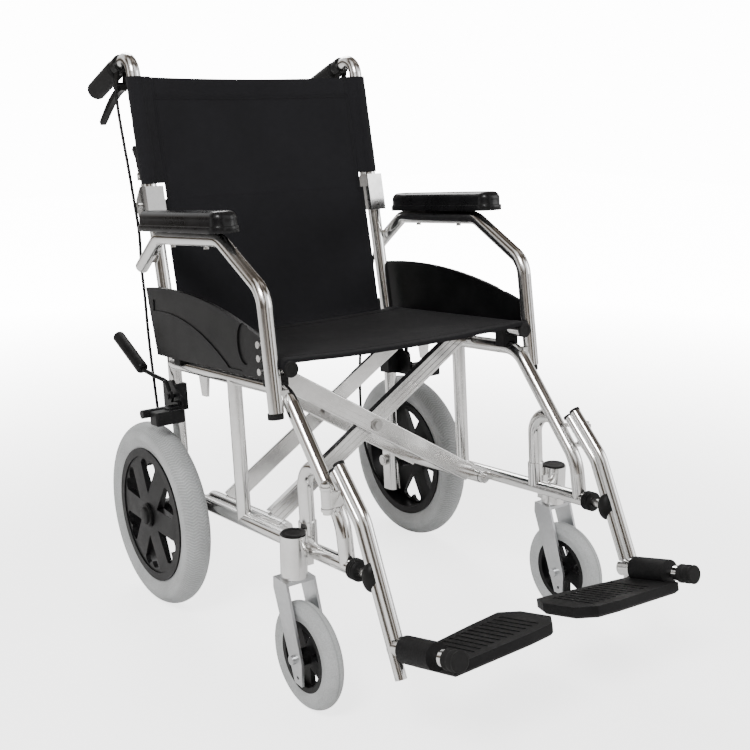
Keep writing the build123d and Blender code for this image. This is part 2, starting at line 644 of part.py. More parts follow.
def park_lever():
    """Cranked rod with a long moulded grip, on a flat hub."""
    s, h = LEVER_PIVOT
    hub = rod((FRAME_X + 20.5, s, h), (FRAME_X + 25, s, h), 10) - rod((FRAME_X, s, h), (FRAME_X + 40, s, h),
                                                                      3 + RUNNING)
    x = FRAME_X + 22.75
    knee = vec(x + 4, s + 2, h + 26)
    bend = vec(x + 14, s + 26, h + 34)
    grip_start = vec(x + 22, s + 46, h + 42)
    grip_end = vec(x + 26, s + 128, h + 92)
    rods = bent_tube([vec(x, s, h + 8), knee, bend, grip_start], [8, 10], 3.5)
    handle = fillet(rod(grip_start, grip_end, 10).edges(), 5)
    return fuse(hub, rods, handle)


both_sides("park_brake_lever", lean_back(park_lever()))


def park_shoe():
    """Shoe arm with the ribbed pad that bears on the tyre and the round release bar above it."""
    s, h = SHOE_PIVOT
    arm = plate_yz([(s - 9, h - 8), (s + 9, h - 8), (s + 9, h + 9), (s - 9, h + 9)], FRAME_X + 15, FRAME_X + 20)
    bar = rod((FRAME_X + 15, s + 1, h - 2), (WHEEL_X + 36, s + 1, h - 2), 7)
    pad = box((WHEEL_X - 25, WHEEL_X + 25), (s - 30, s - 4), (h - 20, h + 2))
    pad = soft_edges(pad, 3)
    neck = box((FRAME_X + 15, WHEEL_X), (s - 20, s), (h - 8, h + 4))
    wheel = level(Pos(WHEEL_X, 0, WHEEL_R) * Rot(0, 90, 0) * Cylinder(WHEEL_R + 3, 80))
    shoe = fuse(arm, bar, neck, pad) - wheel
    shoe = shoe - rod((FRAME_X + 20, s, h), (FRAME_X + 32, s, h), 5 + PART_GAP)
    return shoe - rod((FRAME_X, s, h), (FRAME_X + 40, s, h), 3 + RUNNING)


# ---------------------------------------------------------------- footrest
HANGER_POINTS = [vec(FRAME_X, -482, 309), vec(FRAME_X, -534, 250), vec(FRAME_X, -595, 95)]
HANGER_BEND = 46.0
REAR_LOBE_MORE = 40.0            # the rear lobe runs on past the pin
FRONT_LOBE_LESS = 12.0


def lobe_route(step):
    """The hanger's route moved rearward by step, kept parallel to it round the bend."""
    top, corner, foot = HANGER_POINTS
    upper = (corner - top).normalized()
    lower = (foot - corner).normalized()
    across_upper = Vector(0, -upper.Z, upper.Y)
    across_lower = Vector(0, -lower.Z, lower.Y)
    mitre = (across_upper + across_lower) * (1 / (1 + across_upper.dot(across_lower)))
    return [top + across_upper * step, corner + mitre * step, foot + across_lower * step]


def footrest_hanger():
    """Twin tube that hangs from a barrel on the hinge pin, with the boss for the footplate pin."""
    run = (HANGER_POINTS[2] - HANGER_POINTS[1]).normalized()
    lobes = []
    for step, more in ((LOBE_STEP / 2, REAR_LOBE_MORE), (-LOBE_STEP / 2, -FRONT_LOBE_LESS)):
        top, corner, foot = lobe_route(step)
        lobes.append(bent_tube([top, corner, foot + run * more], [HANGER_BEND - step], LOBE_R))
    barrel = rod((HINGE_X, HINGE_S, HINGE_H - 12), (HINGE_X, HINGE_S, HINGE_H + 12), 8)
    neck = box((FRAME_X, HINGE_X), (HINGE_S - 12, HINGE_S - 4), (HINGE_H - 10, HINGE_H + 10))
    boss = rod(pin_point(-12), pin_point(14), 12)
    hanger = fuse(*lobes, barrel, neck, boss)
    return hanger - rod((HINGE_X, HINGE_S, HINGE_H - 30), (HINGE_X, HINGE_S, HINGE_H + 30), 4 + RUNNING)


def pin_point(along, x=PLATE_X):
    """A point on the footplate pin, measured forward from the hanger."""
    rise = math.radians(PLATE_PIN_RISE)
    return vec(x, PLATE_PIN_S - along * math.cos(rise), PLATE_PIN_H + along * math.sin(rise))


HANGER_SOLID = footrest_hanger() - rod(pin_point(-40), pin_point(40), PIN_R)
both_sides("footrest_hanger", lean_back(HANGER_SOLID))


def footplate_pin():
    """Chrome pin with the black bumper on its front end."""
    pin = rod(pin_point(-11), pin_point(100), PIN_R)
    bumper = fillet(rod(pin_point(90), pin_point(124), BUMPER_R).edges(), 2)
    return pin + bumper


both_sides("footplate_pin", lean_back(footplate_pin()))


def footplate():
    """Moulded plate with a ribbed top and the sleeve that turns on the pin."""
    turn = Pos(pin_point(0)) * Rot(-PLATE_PIN_RISE, 0, 0) * Rot(0, PLATE_CANT, 0)
    sleeve = Pos(0, -16, 0) * Rot(90, 0, 0) * Cylinder(18, 64, align=ALIGN_UP)
    top = -11.0
    left, right = -PLATE_WIDTH, -6.0
    rear, front = 11.0, 11.0 - PLATE_DEPTH
    outline = make_face(Polyline((right, -8, top), (right, front + 6, top), (left + 60, front, top),
                                 (left + 22, front + 2, top), (left, front + 26, top), (left, rear - 30, top),
                                 (left + 16, rear, top), (left + 70, rear - 4, top), close=True))
    plate = extrude(outline, amount=PLATE_THICK, dir=(0, 0, -1))
    plate = chamfer(plate.edges().group_by(Axis.Z)[0], 4)
    ribs = [Pos(left + 30 + index * 11, (rear + front) / 2, top) * Box(5, PLATE_DEPTH - 40, 2)
            for index in range(11)]
    body = fuse(plate, sleeve)
    for rib in ribs:
        body = body - rib
    clear = BUMPER_R + 2.0
    body = body - Pos(0, 15, 0) * Rot(-90, 0, 0) * Cylinder(clear + 1, 60, align=ALIGN_UP)
    body = body - Pos(0, -15.5, 0) * Rot(-90, 0, 0) * Cylinder(clear + 1, 60, align=ALIGN_UP)
    body = body - Pos(0, -80.5, 0) * Rot(90, 0, 0) * Cylinder(clear, 60, align=ALIGN_UP)
    body = body - Rot(90, 0, 0) * Cylinder(PIN_R + RUNNING, 300)
    return turn * body


both_sides("footplate", lean_back(footplate()))


def footrest_latch():
    """Collar on the end of the lower rail, with a turning shaft and an oval knob."""
    s = STUB_S
    collar = rod((FRAME_X, s, LOWER_H), (FRAME_X, s - 12, LOWER_H), 14)
    shaft = rod((FRAME_X, s - 11, LOWER_H), (FRAME_X, s - 18, LOWER_H), 6)
    knob = Pos(FRAME_X, s - 17, LOWER_H) * Rot(90, 0, 0) * extrude(SlotOverall(44, 20), amount=8)
    return fuse(collar, shaft, knob)


both_sides("footrest_latch", lean_back(footrest_latch()))
both_sides("park_brake_shoe", lean_back(park_shoe()))


# ---------------------------------------------------------------- cross brace
def brace_bar(s, thick, ribbed):
    """One bar of the brace from the left pivot up to the right seat tube."""
    length = math.hypot(PIVOT_X + FRAME_X, SEAT_H - LOWER_H)
    bar = Pos(length / 2, 0, 0) * Box(length - 16, thick, BRACE_HEIGHT)
    bar = fillet(bar.edges().filter_by(Axis.X), 2)
    if ribbed:
        for z in (-8, 0, 8):
            for face in (-thick / 2, thick / 2):
                bar = bar - Pos(length / 2, face, z) * Box(length, 1.6, 3)
    turn = Pos(PIVOT_X, s, LOWER_H) * Rot(0, 180 + BRACE_RISE, 0)
    return turn * bar


def cross_member(front_s, rear_s):
    """Pivot tube, two bars and seat tube welded into one; the bars are coped round the seat rail."""
    pivot = rod((PIVOT_X, -74, LOWER_H), (PIVOT_X, -292, LOWER_H), TUBE_R)
    seat = rod((-FRAME_X, SEAT_REAR_S, SEAT_H), (-FRAME_X, SEAT_FRONT_S + 4, SEAT_H), TUBE_R)
    bars = [brace_bar(front_s, BRACE_THICK, True), brace_bar(rear_s, FLAT_BRACE_THICK, False)]
    rail = rod((-FRAME_X, 0, RAIL_H), (-FRAME_X, -400, RAIL_H), TUBE_R + 2.5)
    lower = rod((FRAME_X, 0, LOWER_H), (FRAME_X, -400, LOWER_H), TUBE_R + 1.5)
    member = fuse(seat, pivot, *[bar - rail - lower for bar in bars])
    return member - rod((PIVOT_X, 0, LOWER_H), (PIVOT_X, -400, LOWER_H), PIVOT_R + RUNNING)


FRONT_A, FRONT_B = BRACE_FRONT_S, BRACE_FRONT_S + BRACE_THICK + 1.0
REAR_A, REAR_B = BRACE_REAR_S, BRACE_REAR_S + FLAT_BRACE_THICK + 1.0
BOLT_R = 4.0


def centre_holes(member):
    return member - rod((0, 0, CENTRE_H), (0, -400, CENTRE_H), BOLT_R + RUNNING)


CROSS_A = centre_holes(cross_member(FRONT_A, REAR_A))
CROSS_B = centre_holes(mirror(cross_member(FRONT_B, REAR_B), about=Plane.YZ))
add("cross_brace_a", lean_back(CROSS_A))
add("cross_brace_b", lean_back(CROSS_B))


def centre_bolts():
    """Two bolts where the bars cross, each with a washer, a head and a nut."""
    bolts = []
    for first, last in ((FRONT_A - BRACE_THICK / 2, FRONT_B + BRACE_THICK / 2),
                        (REAR_A - FLAT_BRACE_THICK / 2, REAR_B + FLAT_BRACE_THICK / 2)):
        shaft = rod((0, first - 6, CENTRE_H), (0, last + 6, CENTRE_H), BOLT_R)
        washer = rod((0, first - 2, CENTRE_H), (0, first, CENTRE_H), 10)
        head = rod((0, first - 6, CENTRE_H), (0, first - 2, CENTRE_H), 6.5)
        nut = rod((0, last + PART_GAP, CENTRE_H), (0, last + 6, CENTRE_H), 6.5)
        bolts.append(fuse(shaft, washer, head, nut))
    return Compound(children=bolts)


add("cross_brace_bolts", lean_back(centre_bolts()))


# ---------------------------------------------------------------- upholstery
def seat_fabric():
    """Seat sling that lies on the two seat tubes."""
    low = SEAT_H + TUBE_R + PART_GAP
    sheet = box((-FRAME_X - 6, FRAME_X + 6), (SEAT_FRONT_S, SEAT_REAR_S), (low, low + FABRIC))
    return fillet(sheet.edges().filter_by(Axis.Z), 10)


add("seat_fabric", lean_back(seat_fabric()))


def back_sheet(low, high, behind):
    """Part of the back sling between the canes."""
    half = FRAME_X - 18.0
    outline = [(cane_s(low) + behind, low), (cane_s(high) + behind, high),
               (cane_s(high) + behind + FABRIC, high), (cane_s(low) + behind + FABRIC, low)]
    return plate_yz(outline, -half, half)


add("back_fabric_upper", lean_back(back_sheet(FOLD_H + 12, BACK_TOP_H, -4)))
add("back_fabric_lower", lean_back(back_sheet(SEAT_H + 25, FOLD_H + 8, -4)))


# ---------------------------------------------------------------- shift to the common origin and write
boxes = [node.bounding_box() for node in NODES.values()]
low = Vector(*[min(getattr(each.min, axis) for each in boxes) for axis in "XYZ"])
high = Vector(*[max(getattr(each.max, axis) for each in boxes) for axis in "XYZ"])
SHIFT = Vector(0, -(low.Y + high.Y) / 2, -low.Z)
os.makedirs("parts", exist_ok=True)
for name, node in NODES.items():
    export_step(Pos(SHIFT) * node, "parts/" + name + ".step")
print("nodes", len(NODES), "shift", tuple(round(value, 3) for value in SHIFT), "size", high - low)
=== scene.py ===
# %% [markdown]
# # A folding attendant wheelchair
# The metal and plastic parts of this chair arrive as a finished engineering model, which is loaded here as a
# fixed frame. This lesson adds what an engineering model leaves out: the woven slings, the foam arm pads, the
# plugs, caps and stitches, and a finish for every surface. Nothing from the frame is moved.

import json
import math
import bpy
from mathutils import Matrix, Vector, noise
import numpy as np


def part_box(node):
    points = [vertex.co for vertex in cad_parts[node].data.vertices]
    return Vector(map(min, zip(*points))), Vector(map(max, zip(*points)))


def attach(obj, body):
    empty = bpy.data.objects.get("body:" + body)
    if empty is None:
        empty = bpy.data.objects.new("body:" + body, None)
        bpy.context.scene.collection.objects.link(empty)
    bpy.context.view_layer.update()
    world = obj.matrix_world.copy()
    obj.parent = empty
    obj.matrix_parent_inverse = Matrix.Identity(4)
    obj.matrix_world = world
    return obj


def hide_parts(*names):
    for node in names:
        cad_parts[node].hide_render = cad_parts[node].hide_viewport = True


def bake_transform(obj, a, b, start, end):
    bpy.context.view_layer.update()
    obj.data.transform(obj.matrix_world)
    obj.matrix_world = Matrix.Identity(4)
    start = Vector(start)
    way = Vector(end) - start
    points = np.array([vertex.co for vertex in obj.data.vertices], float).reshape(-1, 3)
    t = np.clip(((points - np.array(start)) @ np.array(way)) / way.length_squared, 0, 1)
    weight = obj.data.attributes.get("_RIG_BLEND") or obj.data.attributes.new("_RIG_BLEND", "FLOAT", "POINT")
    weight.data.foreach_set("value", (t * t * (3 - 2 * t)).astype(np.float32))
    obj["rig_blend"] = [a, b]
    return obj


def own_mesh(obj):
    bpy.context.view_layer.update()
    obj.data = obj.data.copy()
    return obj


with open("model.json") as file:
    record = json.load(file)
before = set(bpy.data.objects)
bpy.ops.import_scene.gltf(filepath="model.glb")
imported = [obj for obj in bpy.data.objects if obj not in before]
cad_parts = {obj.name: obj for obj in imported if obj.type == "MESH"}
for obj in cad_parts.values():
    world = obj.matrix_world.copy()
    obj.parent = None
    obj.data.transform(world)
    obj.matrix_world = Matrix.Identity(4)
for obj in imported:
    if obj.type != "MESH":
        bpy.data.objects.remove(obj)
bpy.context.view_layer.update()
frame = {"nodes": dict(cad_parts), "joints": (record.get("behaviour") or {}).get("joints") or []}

# %% [markdown]
# ## Two ways of measuring
# The whole tubular frame leans back five degrees about the rear axle, so that the seat tips back. It is
# easier to model in the level frame, as if the chair stood upright, and to lean each piece at the end. The
# lean and the axle are read from the joints, so the pieces follow the frame if it changes.

# %% The lean of the frame
joints = {joint["name"]: joint for joint in frame["joints"]}
slope = math.asin(-joints["fold"]["axis"][2])
axle = Vector(joints["rear_wheel_spin_left"]["pos_m"])
axle.x = 0.0
LEAN = Matrix.Translation(axle) @ Matrix.Rotation(-slope, 4, "X") @ Matrix.Translation(-axle)
UNLEAN = LEAN.inverted()


def level_points(node):
    """The corners of a CAD part, in the level frame."""
    return [UNLEAN @ vertex.co for vertex in frame["nodes"][node].data.vertices]


def level_box(node):
    """Lowest and highest corner of a CAD part, in the level frame."""
    points = level_points(node)
    low = Vector([min(point[i] for point in points) for i in range(3)])
    high = Vector([max(point[i] for point in points) for i in range(3)])
    return low, high


def end_centre(node, direction, keep=lambda point: True):
    """The middle of a tube's end: the mean of the points that lie furthest along a direction."""
    points = [point for point in level_points(node) if keep(point)]
    direction = Vector(direction).normalized()
    furthest = max(point.dot(direction) for point in points)
    rim = [point for point in points if point.dot(direction) > furthest - 0.0006]
    low = Vector([min(point[i] for point in rim) for i in range(3)])
    high = Vector([max(point[i] for point in rim) for i in range(3)])
    return (low + high) / 2


print("frame leans", round(math.degrees(slope), 2), "degrees; axle at", tuple(axle))

# %% [markdown]
# ## Camera, floor and light
# The camera stands about as high as the chair, to its right front and two metres away, with a slightly long
# lens. The floor is a plain pale sheet, and three large soft lamps give the tubes long clean highlights.

# %% Camera
CAMERA_FROM_AXLE = Vector((-1.012, -1.656, 0.847))
CAMERA_TURN = -35.75
CAMERA_FALL = 14.45
LENS = 54.96                      # mm, on a sensor of this width
SENSOR = 36.0

camera_data = bpy.data.cameras.new("camera")
camera_data.sensor_width = SENSOR
camera_data.lens = LENS
camera = bpy.data.objects.new("camera", camera_data)
camera.location = Vector((0, axle.y, 0)) + CAMERA_FROM_AXLE
camera.rotation_euler = (math.radians(90 - CAMERA_FALL), 0, math.radians(CAMERA_TURN))
bpy.context.scene.collection.objects.link(camera)
bpy.context.scene.camera = camera
print("camera at", tuple(round(v, 3) for v in camera.location), "lens", round(camera_data.lens, 2))


# %% Floor and lamps
def deselect():
    """Leave edit mode and select nothing."""
    if bpy.context.object and bpy.context.object.mode != "OBJECT":
        bpy.ops.object.mode_set(mode="OBJECT")
    bpy.ops.object.select_all(action="DESELECT")


def lamp(name, place, size, power, target=(0, 0, 0.4)):
    """A soft square lamp that faces the chair."""
    data = bpy.data.lights.new(name, "AREA")
    data.size = size
    data.energy = power
    made = bpy.data.objects.new(name, data)
    made.location = place
    made.rotation_euler = (Vector(target) - Vector(place)).to_track_quat("-Z", "Y").to_euler()
    bpy.context.scene.collection.objects.link(made)


deselect()
bpy.ops.mesh.primitive_plane_add(size=14)
floor = bpy.context.object
floor.name = "floor"
lamp("key", (-2.4, -1.6, 3.2), 1.2, 120)
lamp("fill", (2.8, -2.2, 1.8), 1.6, 30)
lamp("rim", (0.8, 2.8, 2.8), 1.6, 80)

# %% [markdown]
# ## Tools for materials
# Real surfaces are never one colour or one shine. The effects that several finishes share are built once as
# node groups: uneven polish from handling, moulded grain, fine speckle, hairline scratches and a plain weave.
# Each group puts out masks, colours or normals, and each material keeps its own shader.


# %% Node helpers
def add_node(tree, kind, inputs=None, **settings):
    """A node with its settings, and its inputs set to values or joined to sockets."""
    made = tree.nodes.new(kind)
    for name, value in settings.items():
        setattr(made, name, value)
    for name, value in (inputs or {}).items():
        if isinstance(value, bpy.types.NodeSocket):
            tree.links.new(value, made.inputs[name])
        else:
            made.inputs[name].default_value = value
    return made


def maths(tree, operation, first, second=0.0):
    """One arithmetic step."""
    return add_node(tree, "ShaderNodeMath", {0: first, 1: second}, operation=operation).outputs[0]


def ranged(tree, value, low, high, to_low, to_high):
    """A value stretched from one range to another and held inside it."""
    inputs = {"Value": value, "From Min": low, "From Max": high, "To Min": to_low, "To Max": to_high}
    return add_node(tree, "ShaderNodeMapRange", inputs).outputs["Result"]


def mixed(tree, factor, first, second):
    """Two colours mixed by a mask."""
    made = add_node(tree, "ShaderNodeMix", data_type="RGBA")
    for index, value in ((0, factor), (6, first), (7, second)):
        if isinstance(value, bpy.types.NodeSocket):
            tree.links.new(value, made.inputs[index])
        else:
            made.inputs[index].default_value = value
    return made.outputs[2]


def new_group(name, inputs, outputs):
    """An empty node group: inputs are (name, type, default), outputs are (name, type)."""
    group = bpy.data.node_groups.new(name, "ShaderNodeTree")
    for socket, kind, default in inputs:
        made = group.interface.new_socket(socket, in_out="INPUT", socket_type="NodeSocket" + kind)
        if default is not None:
            made.default_value = default
    for socket, kind in outputs:
        group.interface.new_socket(socket, in_out="OUTPUT", socket_type="NodeSocket" + kind)
    start = group.nodes.new("NodeGroupInput").outputs
    end = group.nodes.new("NodeGroupOutput").inputs
    return group, start, end


def use_group(tree, group, inputs):
    """Place a node group in a material."""
    made = add_node(tree, "ShaderNodeGroup", node_tree=group)
    for name, value in inputs.items():
        if isinstance(value, bpy.types.NodeSocket):
            tree.links.new(value, made.inputs[name])
        else:
            made.inputs[name].default_value = value
    return made.outputs


# %% [markdown]
# Polished tube shows only what it mirrors, so an even white room would make it look like grey paint. The sky
# is white where it is seen directly, but what the metal mirrors has soft darker and warmer patches, as the
# walls of a studio do.

# %% Studio sky
WHITE = 14.0                      # bright enough to show as clean white
PATCH_SCALE = 1.7
PATCH_DARK, PATCH_BRIGHT = 0.07, 1.25
WARM, COOL = (1.0, 0.80, 0.62, 1), (1.0, 1.0, 1.0, 1)

world = bpy.data.worlds.new("studio")
bpy.context.scene.world = world
world.use_nodes = True
sky = world.node_tree
seen = add_node(sky, "ShaderNodeLightPath").outputs["Is Camera Ray"]
look = add_node(sky, "ShaderNodeTexCoord").outputs["Generated"]
patches = add_node(sky, "ShaderNodeTexNoise", {"Vector": look, "Scale": PATCH_SCALE, "Detail": 1.0})
patch = ranged(sky, patches.outputs["Fac"], 0.42, 0.58, PATCH_DARK, PATCH_BRIGHT)
power = add_node(sky, "ShaderNodeMix", {"Factor": seen, "A": patch, "B": WHITE}).outputs["Result"]
background = sky.nodes["Background"]
sky.links.new(power, background.inputs["Strength"])
sky.links.new(mixed(sky, power, WARM, COOL), background.inputs["Color"])
print("sky nodes", len(sky.nodes))

# %% Uneven polish
polish, start, end = new_group(
    "polish", [("Vector", "Vector", None), ("Scale", "Float", 20.0), ("Low", "Float", 0.2),
               ("High", "Float", 0.4)],
    [("Roughness", "Float"), ("Mask", "Float")])
broad = add_node(polish, "ShaderNodeTexNoise",
                 {"Vector": start["Vector"], "Scale": start["Scale"], "Detail": 5.0})
fine_scale = maths(polish, "MULTIPLY", start["Scale"], 9.0)
fine = add_node(polish, "ShaderNodeTexNoise", {"Vector": start["Vector"], "Scale": fine_scale, "Detail": 3.0})
both = maths(polish, "ADD", maths(polish, "MULTIPLY", broad.outputs["Fac"], 0.7),
             maths(polish, "MULTIPLY", fine.outputs["Fac"], 0.3))
mask = ranged(polish, both, 0.35, 0.65, 0.0, 1.0)
polish.links.new(mask, end["Mask"])
polish.links.new(ranged(polish, mask, 0.0, 1.0, start["Low"], start["High"]), end["Roughness"])

# %% Moulded grain
grain, start, end = new_group(
    "grain", [("Vector", "Vector", None), ("Scale", "Float", 900.0), ("Strength", "Float", 0.2),
              ("Depth", "Float", 0.0002)],
    [("Normal", "Vector"), ("Pits", "Float")])
cells = add_node(grain, "ShaderNodeTexVoronoi", {"Vector": start["Vector"], "Scale": start["Scale"]})
ripple = add_node(grain, "ShaderNodeTexNoise",
                  {"Vector": start["Vector"], "Scale": maths(grain, "MULTIPLY", start["Scale"], 0.45),
                   "Detail": 4.0})
pits = maths(grain, "MULTIPLY", cells.outputs["Distance"], ripple.outputs["Fac"])
bump = add_node(grain, "ShaderNodeBump",
                {"Strength": start["Strength"], "Distance": start["Depth"], "Height": pits})
grain.links.new(bump.outputs["Normal"], end["Normal"])
grain.links.new(ranged(grain, pits, 0.05, 0.4, 1.0, 0.0), end["Pits"])

# %% Speckle and hairline scratches
speckle, start, end = new_group(
    "speckle", [("Vector", "Vector", None), ("Scale", "Float", 400.0), ("Dark", "Color", (0, 0, 0, 1)),
                ("Light", "Color", (1, 1, 1, 1))], [("Color", "Color"), ("Mask", "Float")])
dots = add_node(speckle, "ShaderNodeTexNoise",
                {"Vector": start["Vector"], "Scale": start["Scale"], "Detail": 6.0})
cloud = add_node(speckle, "ShaderNodeTexNoise",
                 {"Vector": start["Vector"], "Scale": maths(speckle, "MULTIPLY", start["Scale"], 0.04)})
blend = maths(speckle, "ADD", maths(speckle, "MULTIPLY", dots.outputs["Fac"], 0.6),
              maths(speckle, "MULTIPLY", cloud.outputs["Fac"], 0.4))
mask = ranged(speckle, blend, 0.38, 0.62, 0.0, 1.0)
speckle.links.new(mask, end["Mask"])
speckle.links.new(mixed(speckle, mask, start["Dark"], start["Light"]), end["Color"])

scratches, start, end = new_group(
    "scratches", [("Vector", "Vector", None), ("Scale", "Float", 60.0), ("Amount", "Float", 0.5)],
    [("Mask", "Float")])
stretch = add_node(scratches, "ShaderNodeMapping",
                   {"Vector": start["Vector"], "Rotation": (0.5, 0.3, 0.9), "Scale": (1.0, 14.0, 14.0)})
lines = add_node(scratches, "ShaderNodeTexNoise",
                 {"Vector": stretch.outputs["Vector"], "Scale": start["Scale"], "Detail": 3.0})
patches = add_node(scratches, "ShaderNodeTexNoise", {"Vector": start["Vector"], "Scale": 14.0})
sharp = ranged(scratches, lines.outputs["Fac"], 0.66, 0.72, 0.0, 1.0)
worn = ranged(scratches, patches.outputs["Fac"], 0.45, 0.62, 0.0, 1.0)
scratches.links.new(maths(scratches, "MULTIPLY", maths(scratches, "MULTIPLY", sharp, worn), start["Amount"]),
                    end["Mask"])

# %% [markdown]
# The slings are a heavy woven nylon. Each cloth piece carries a UV map measured in metres along the cloth, so
# two sine waves, one across the other, make warp and weft that follow the cloth wherever it bends.

# %% Plain weave
weave, start, end = new_group(
    "weave", [("Vector", "Vector", None), ("Yarns per metre", "Float", 900.0)],
    [("Height", "Float"), ("Shade", "Float")])
parts = add_node(weave, "ShaderNodeSeparateXYZ", {"Vector": start["Vector"]})
turn = maths(weave, "MULTIPLY", start["Yarns per metre"], math.pi)
warp = maths(weave, "SINE", maths(weave, "MULTIPLY", parts.outputs["X"], turn))
weft = maths(weave, "SINE", maths(weave, "MULTIPLY", parts.outputs["Y"], turn))
over = maths(weave, "MULTIPLY", warp, weft)
slub = add_node(weave, "ShaderNodeTexNoise", {"Vector": start["Vector"], "Scale": 700.0, "Detail": 2.0})
height = maths(weave, "ADD", over, slub.outputs["Fac"])
weave.links.new(height, end["Height"])
# Painted shade and highlight: the colour is darker where the weave is low and lighter where it is high; the
# slub noise adds real unevenness of the yarn.
weave.links.new(ranged(weave, height, -0.6, 1.6, 0.0, 1.0), end["Shade"])
print("effect groups:", [group.name for group in bpy.data.node_groups])


# %% [markdown]
# ## The finishes
# One short function starts each material with the constants on the shader, then each finish adds its own
# variation. Silver tube is bright metal under a clear coat, with soft smears and faint hairlines.

# %% Start of a material
def new_material(name, color, roughness, metallic=0.0, coat=0.0, coat_roughness=0.1):
    """A material with its plain values set, ready for its pattern."""
    material = bpy.data.materials.new(name)
    material.use_nodes = True
    tree = material.node_tree
    shader = tree.nodes["Principled BSDF"]
    shader.inputs["Base Color"].default_value = (*color, 1)
    shader.inputs["Roughness"].default_value = roughness
    shader.inputs["Metallic"].default_value = metallic
    shader.inputs["Coat Weight"].default_value = coat
    shader.inputs["Coat Roughness"].default_value = coat_roughness
    place = tree.nodes.new("ShaderNodeTexCoord")
    return material, tree, shader, place.outputs["Object"]


def metal(name, dark, light, low, high, coat=0.0, hairlines=0.12, ripple=0.012):
    """Bright metal with uneven polish, hairline scratches and a faint drawn-tube ripple."""
    material, tree, shader, place = new_material(name, light, low, 1.0, coat)
    shine = use_group(tree, polish, {"Vector": place, "Scale": 16.0, "Low": low, "High": high})
    lines = use_group(tree, scratches, {"Vector": place, "Scale": 210.0, "Amount": hairlines})
    tone = mixed(tree, shine["Mask"], (*light, 1), (*dark, 1))
    tree.links.new(mixed(tree, lines["Mask"], tone, (*dark, 1)), shader.inputs["Base Color"])
    rough = maths(tree, "ADD", shine["Roughness"], maths(tree, "MULTIPLY", lines["Mask"], 0.2))
    tree.links.new(rough, shader.inputs["Roughness"])
    skin = use_group(tree, grain, {"Vector": place, "Scale": 90.0, "Strength": ripple, "Depth": 0.0003})
    tree.links.new(skin["Normal"], shader.inputs["Normal"])
    return material


def moulded(name, dark, light, low, high, grain_scale, grain_strength, coat=0.0, dust=0.25):
    """Moulded plastic or rubber: fine grain, uneven polish and a trace of dust in the pits."""
    material, tree, shader, place = new_material(name, dark, low, 0.0, coat)
    shader.inputs["Specular IOR Level"].default_value = 0.16
    shine = use_group(tree, polish, {"Vector": place, "Scale": 22.0, "Low": low, "High": high})
    skin = use_group(tree, grain,
                     {"Vector": place, "Scale": grain_scale, "Strength": grain_strength, "Depth": 0.0004})
    tone = mixed(tree, shine["Mask"], (*dark, 1), (*light, 1))
    worn = maths(tree, "MULTIPLY", maths(tree, "MULTIPLY", skin["Pits"], shine["Mask"]), dust)
    dusty = tuple(channel * 2.0 + 0.004 for channel in light)
    tree.links.new(mixed(tree, worn, tone, (*dusty, 1)), shader.inputs["Base Color"])
    tree.links.new(shine["Roughness"], shader.inputs["Roughness"])
    tree.links.new(skin["Normal"], shader.inputs["Normal"])
    return material


# %% Metals
silver_tube = metal("silver_tube", (0.76, 0.755, 0.745), (0.88, 0.878, 0.87), 0.13, 0.22, coat=0.3)
silver_bracket = metal("silver_bracket", (0.60, 0.60, 0.595), (0.74, 0.74, 0.735), 0.18, 0.28)
silver_fork = metal("silver_fork", (0.50, 0.51, 0.52), (0.62, 0.63, 0.64), 0.30, 0.42, coat=0.2)
zinc_bolt = metal("zinc_bolt", (0.50, 0.49, 0.48), (0.74, 0.74, 0.73), 0.2, 0.36, hairlines=0.4)
chrome_pin = metal("chrome_pin", (0.74, 0.74, 0.74), (0.9, 0.9, 0.9), 0.06, 0.14, hairlines=0.3, ripple=0.004)
print("metals:", [m.name for m in (silver_tube, silver_bracket, silver_fork, zinc_bolt, chrome_pin)])

# %% Plastics and rubber
pad_skin = moulded("pad_skin", (0.0050, 0.0050, 0.0055), (0.0099, 0.0099, 0.0105),
                   0.24, 0.34, 520.0, 0.12, coat=0.15)
panel_plastic = moulded("panel_plastic", (0.0033, 0.0033, 0.0036), (0.0066, 0.0066, 0.0070),
                        0.30, 0.44, 900.0, 0.3)
nylon_moulding = moulded("nylon_moulding", (0.0055, 0.0055, 0.0055), (0.0121, 0.0121, 0.0121),
                         0.35, 0.55, 700.0, 0.3)
lever_coat = moulded("lever_coat", (0.0044, 0.0044, 0.0050), (0.0099, 0.0099, 0.0099),
                     0.26, 0.42, 650.0, 0.25)
powder_coat = moulded("powder_coat", (0.0055, 0.0055, 0.0060), (0.0110, 0.0110, 0.0116),
                      0.32, 0.46, 500.0, 0.45)
grip_rubber = moulded("grip_rubber", (0.0066, 0.0066, 0.0066), (0.0143, 0.0143, 0.0143),
                      0.55, 0.75, 1100.0, 0.4)
cable_sheath = moulded("cable_sheath", (0.0039, 0.0039, 0.0039), (0.0077, 0.0077, 0.0077),
                       0.30, 0.42, 500.0, 0.1)
rim_nylon = moulded("rim_nylon", (0.0033, 0.0033, 0.0036), (0.0079, 0.0079, 0.0083), 0.30, 0.46, 600.0, 0.3)
plate_plastic = moulded("plate_plastic", (0.0046, 0.0046, 0.0050), (0.0099, 0.0099, 0.0103),
                        0.50, 0.66, 330.0, 0.8)


# %% [markdown]
# The tyres are solid grey polyurethane. The rear ones carry a fine zigzag tread, which is a wave round the
# wheel whose phase swings to and fro across the width. The wheel's own centre turns the pattern into angles.

# %% Grey tyre with a zigzag tread
ZIGZAG = 0.008                    # half the width of one zigzag
ZIGZAG_TURN = 700.0               # how fast the tread's phase turns across the wheel, per metre
REAR_TEETH = 190.0


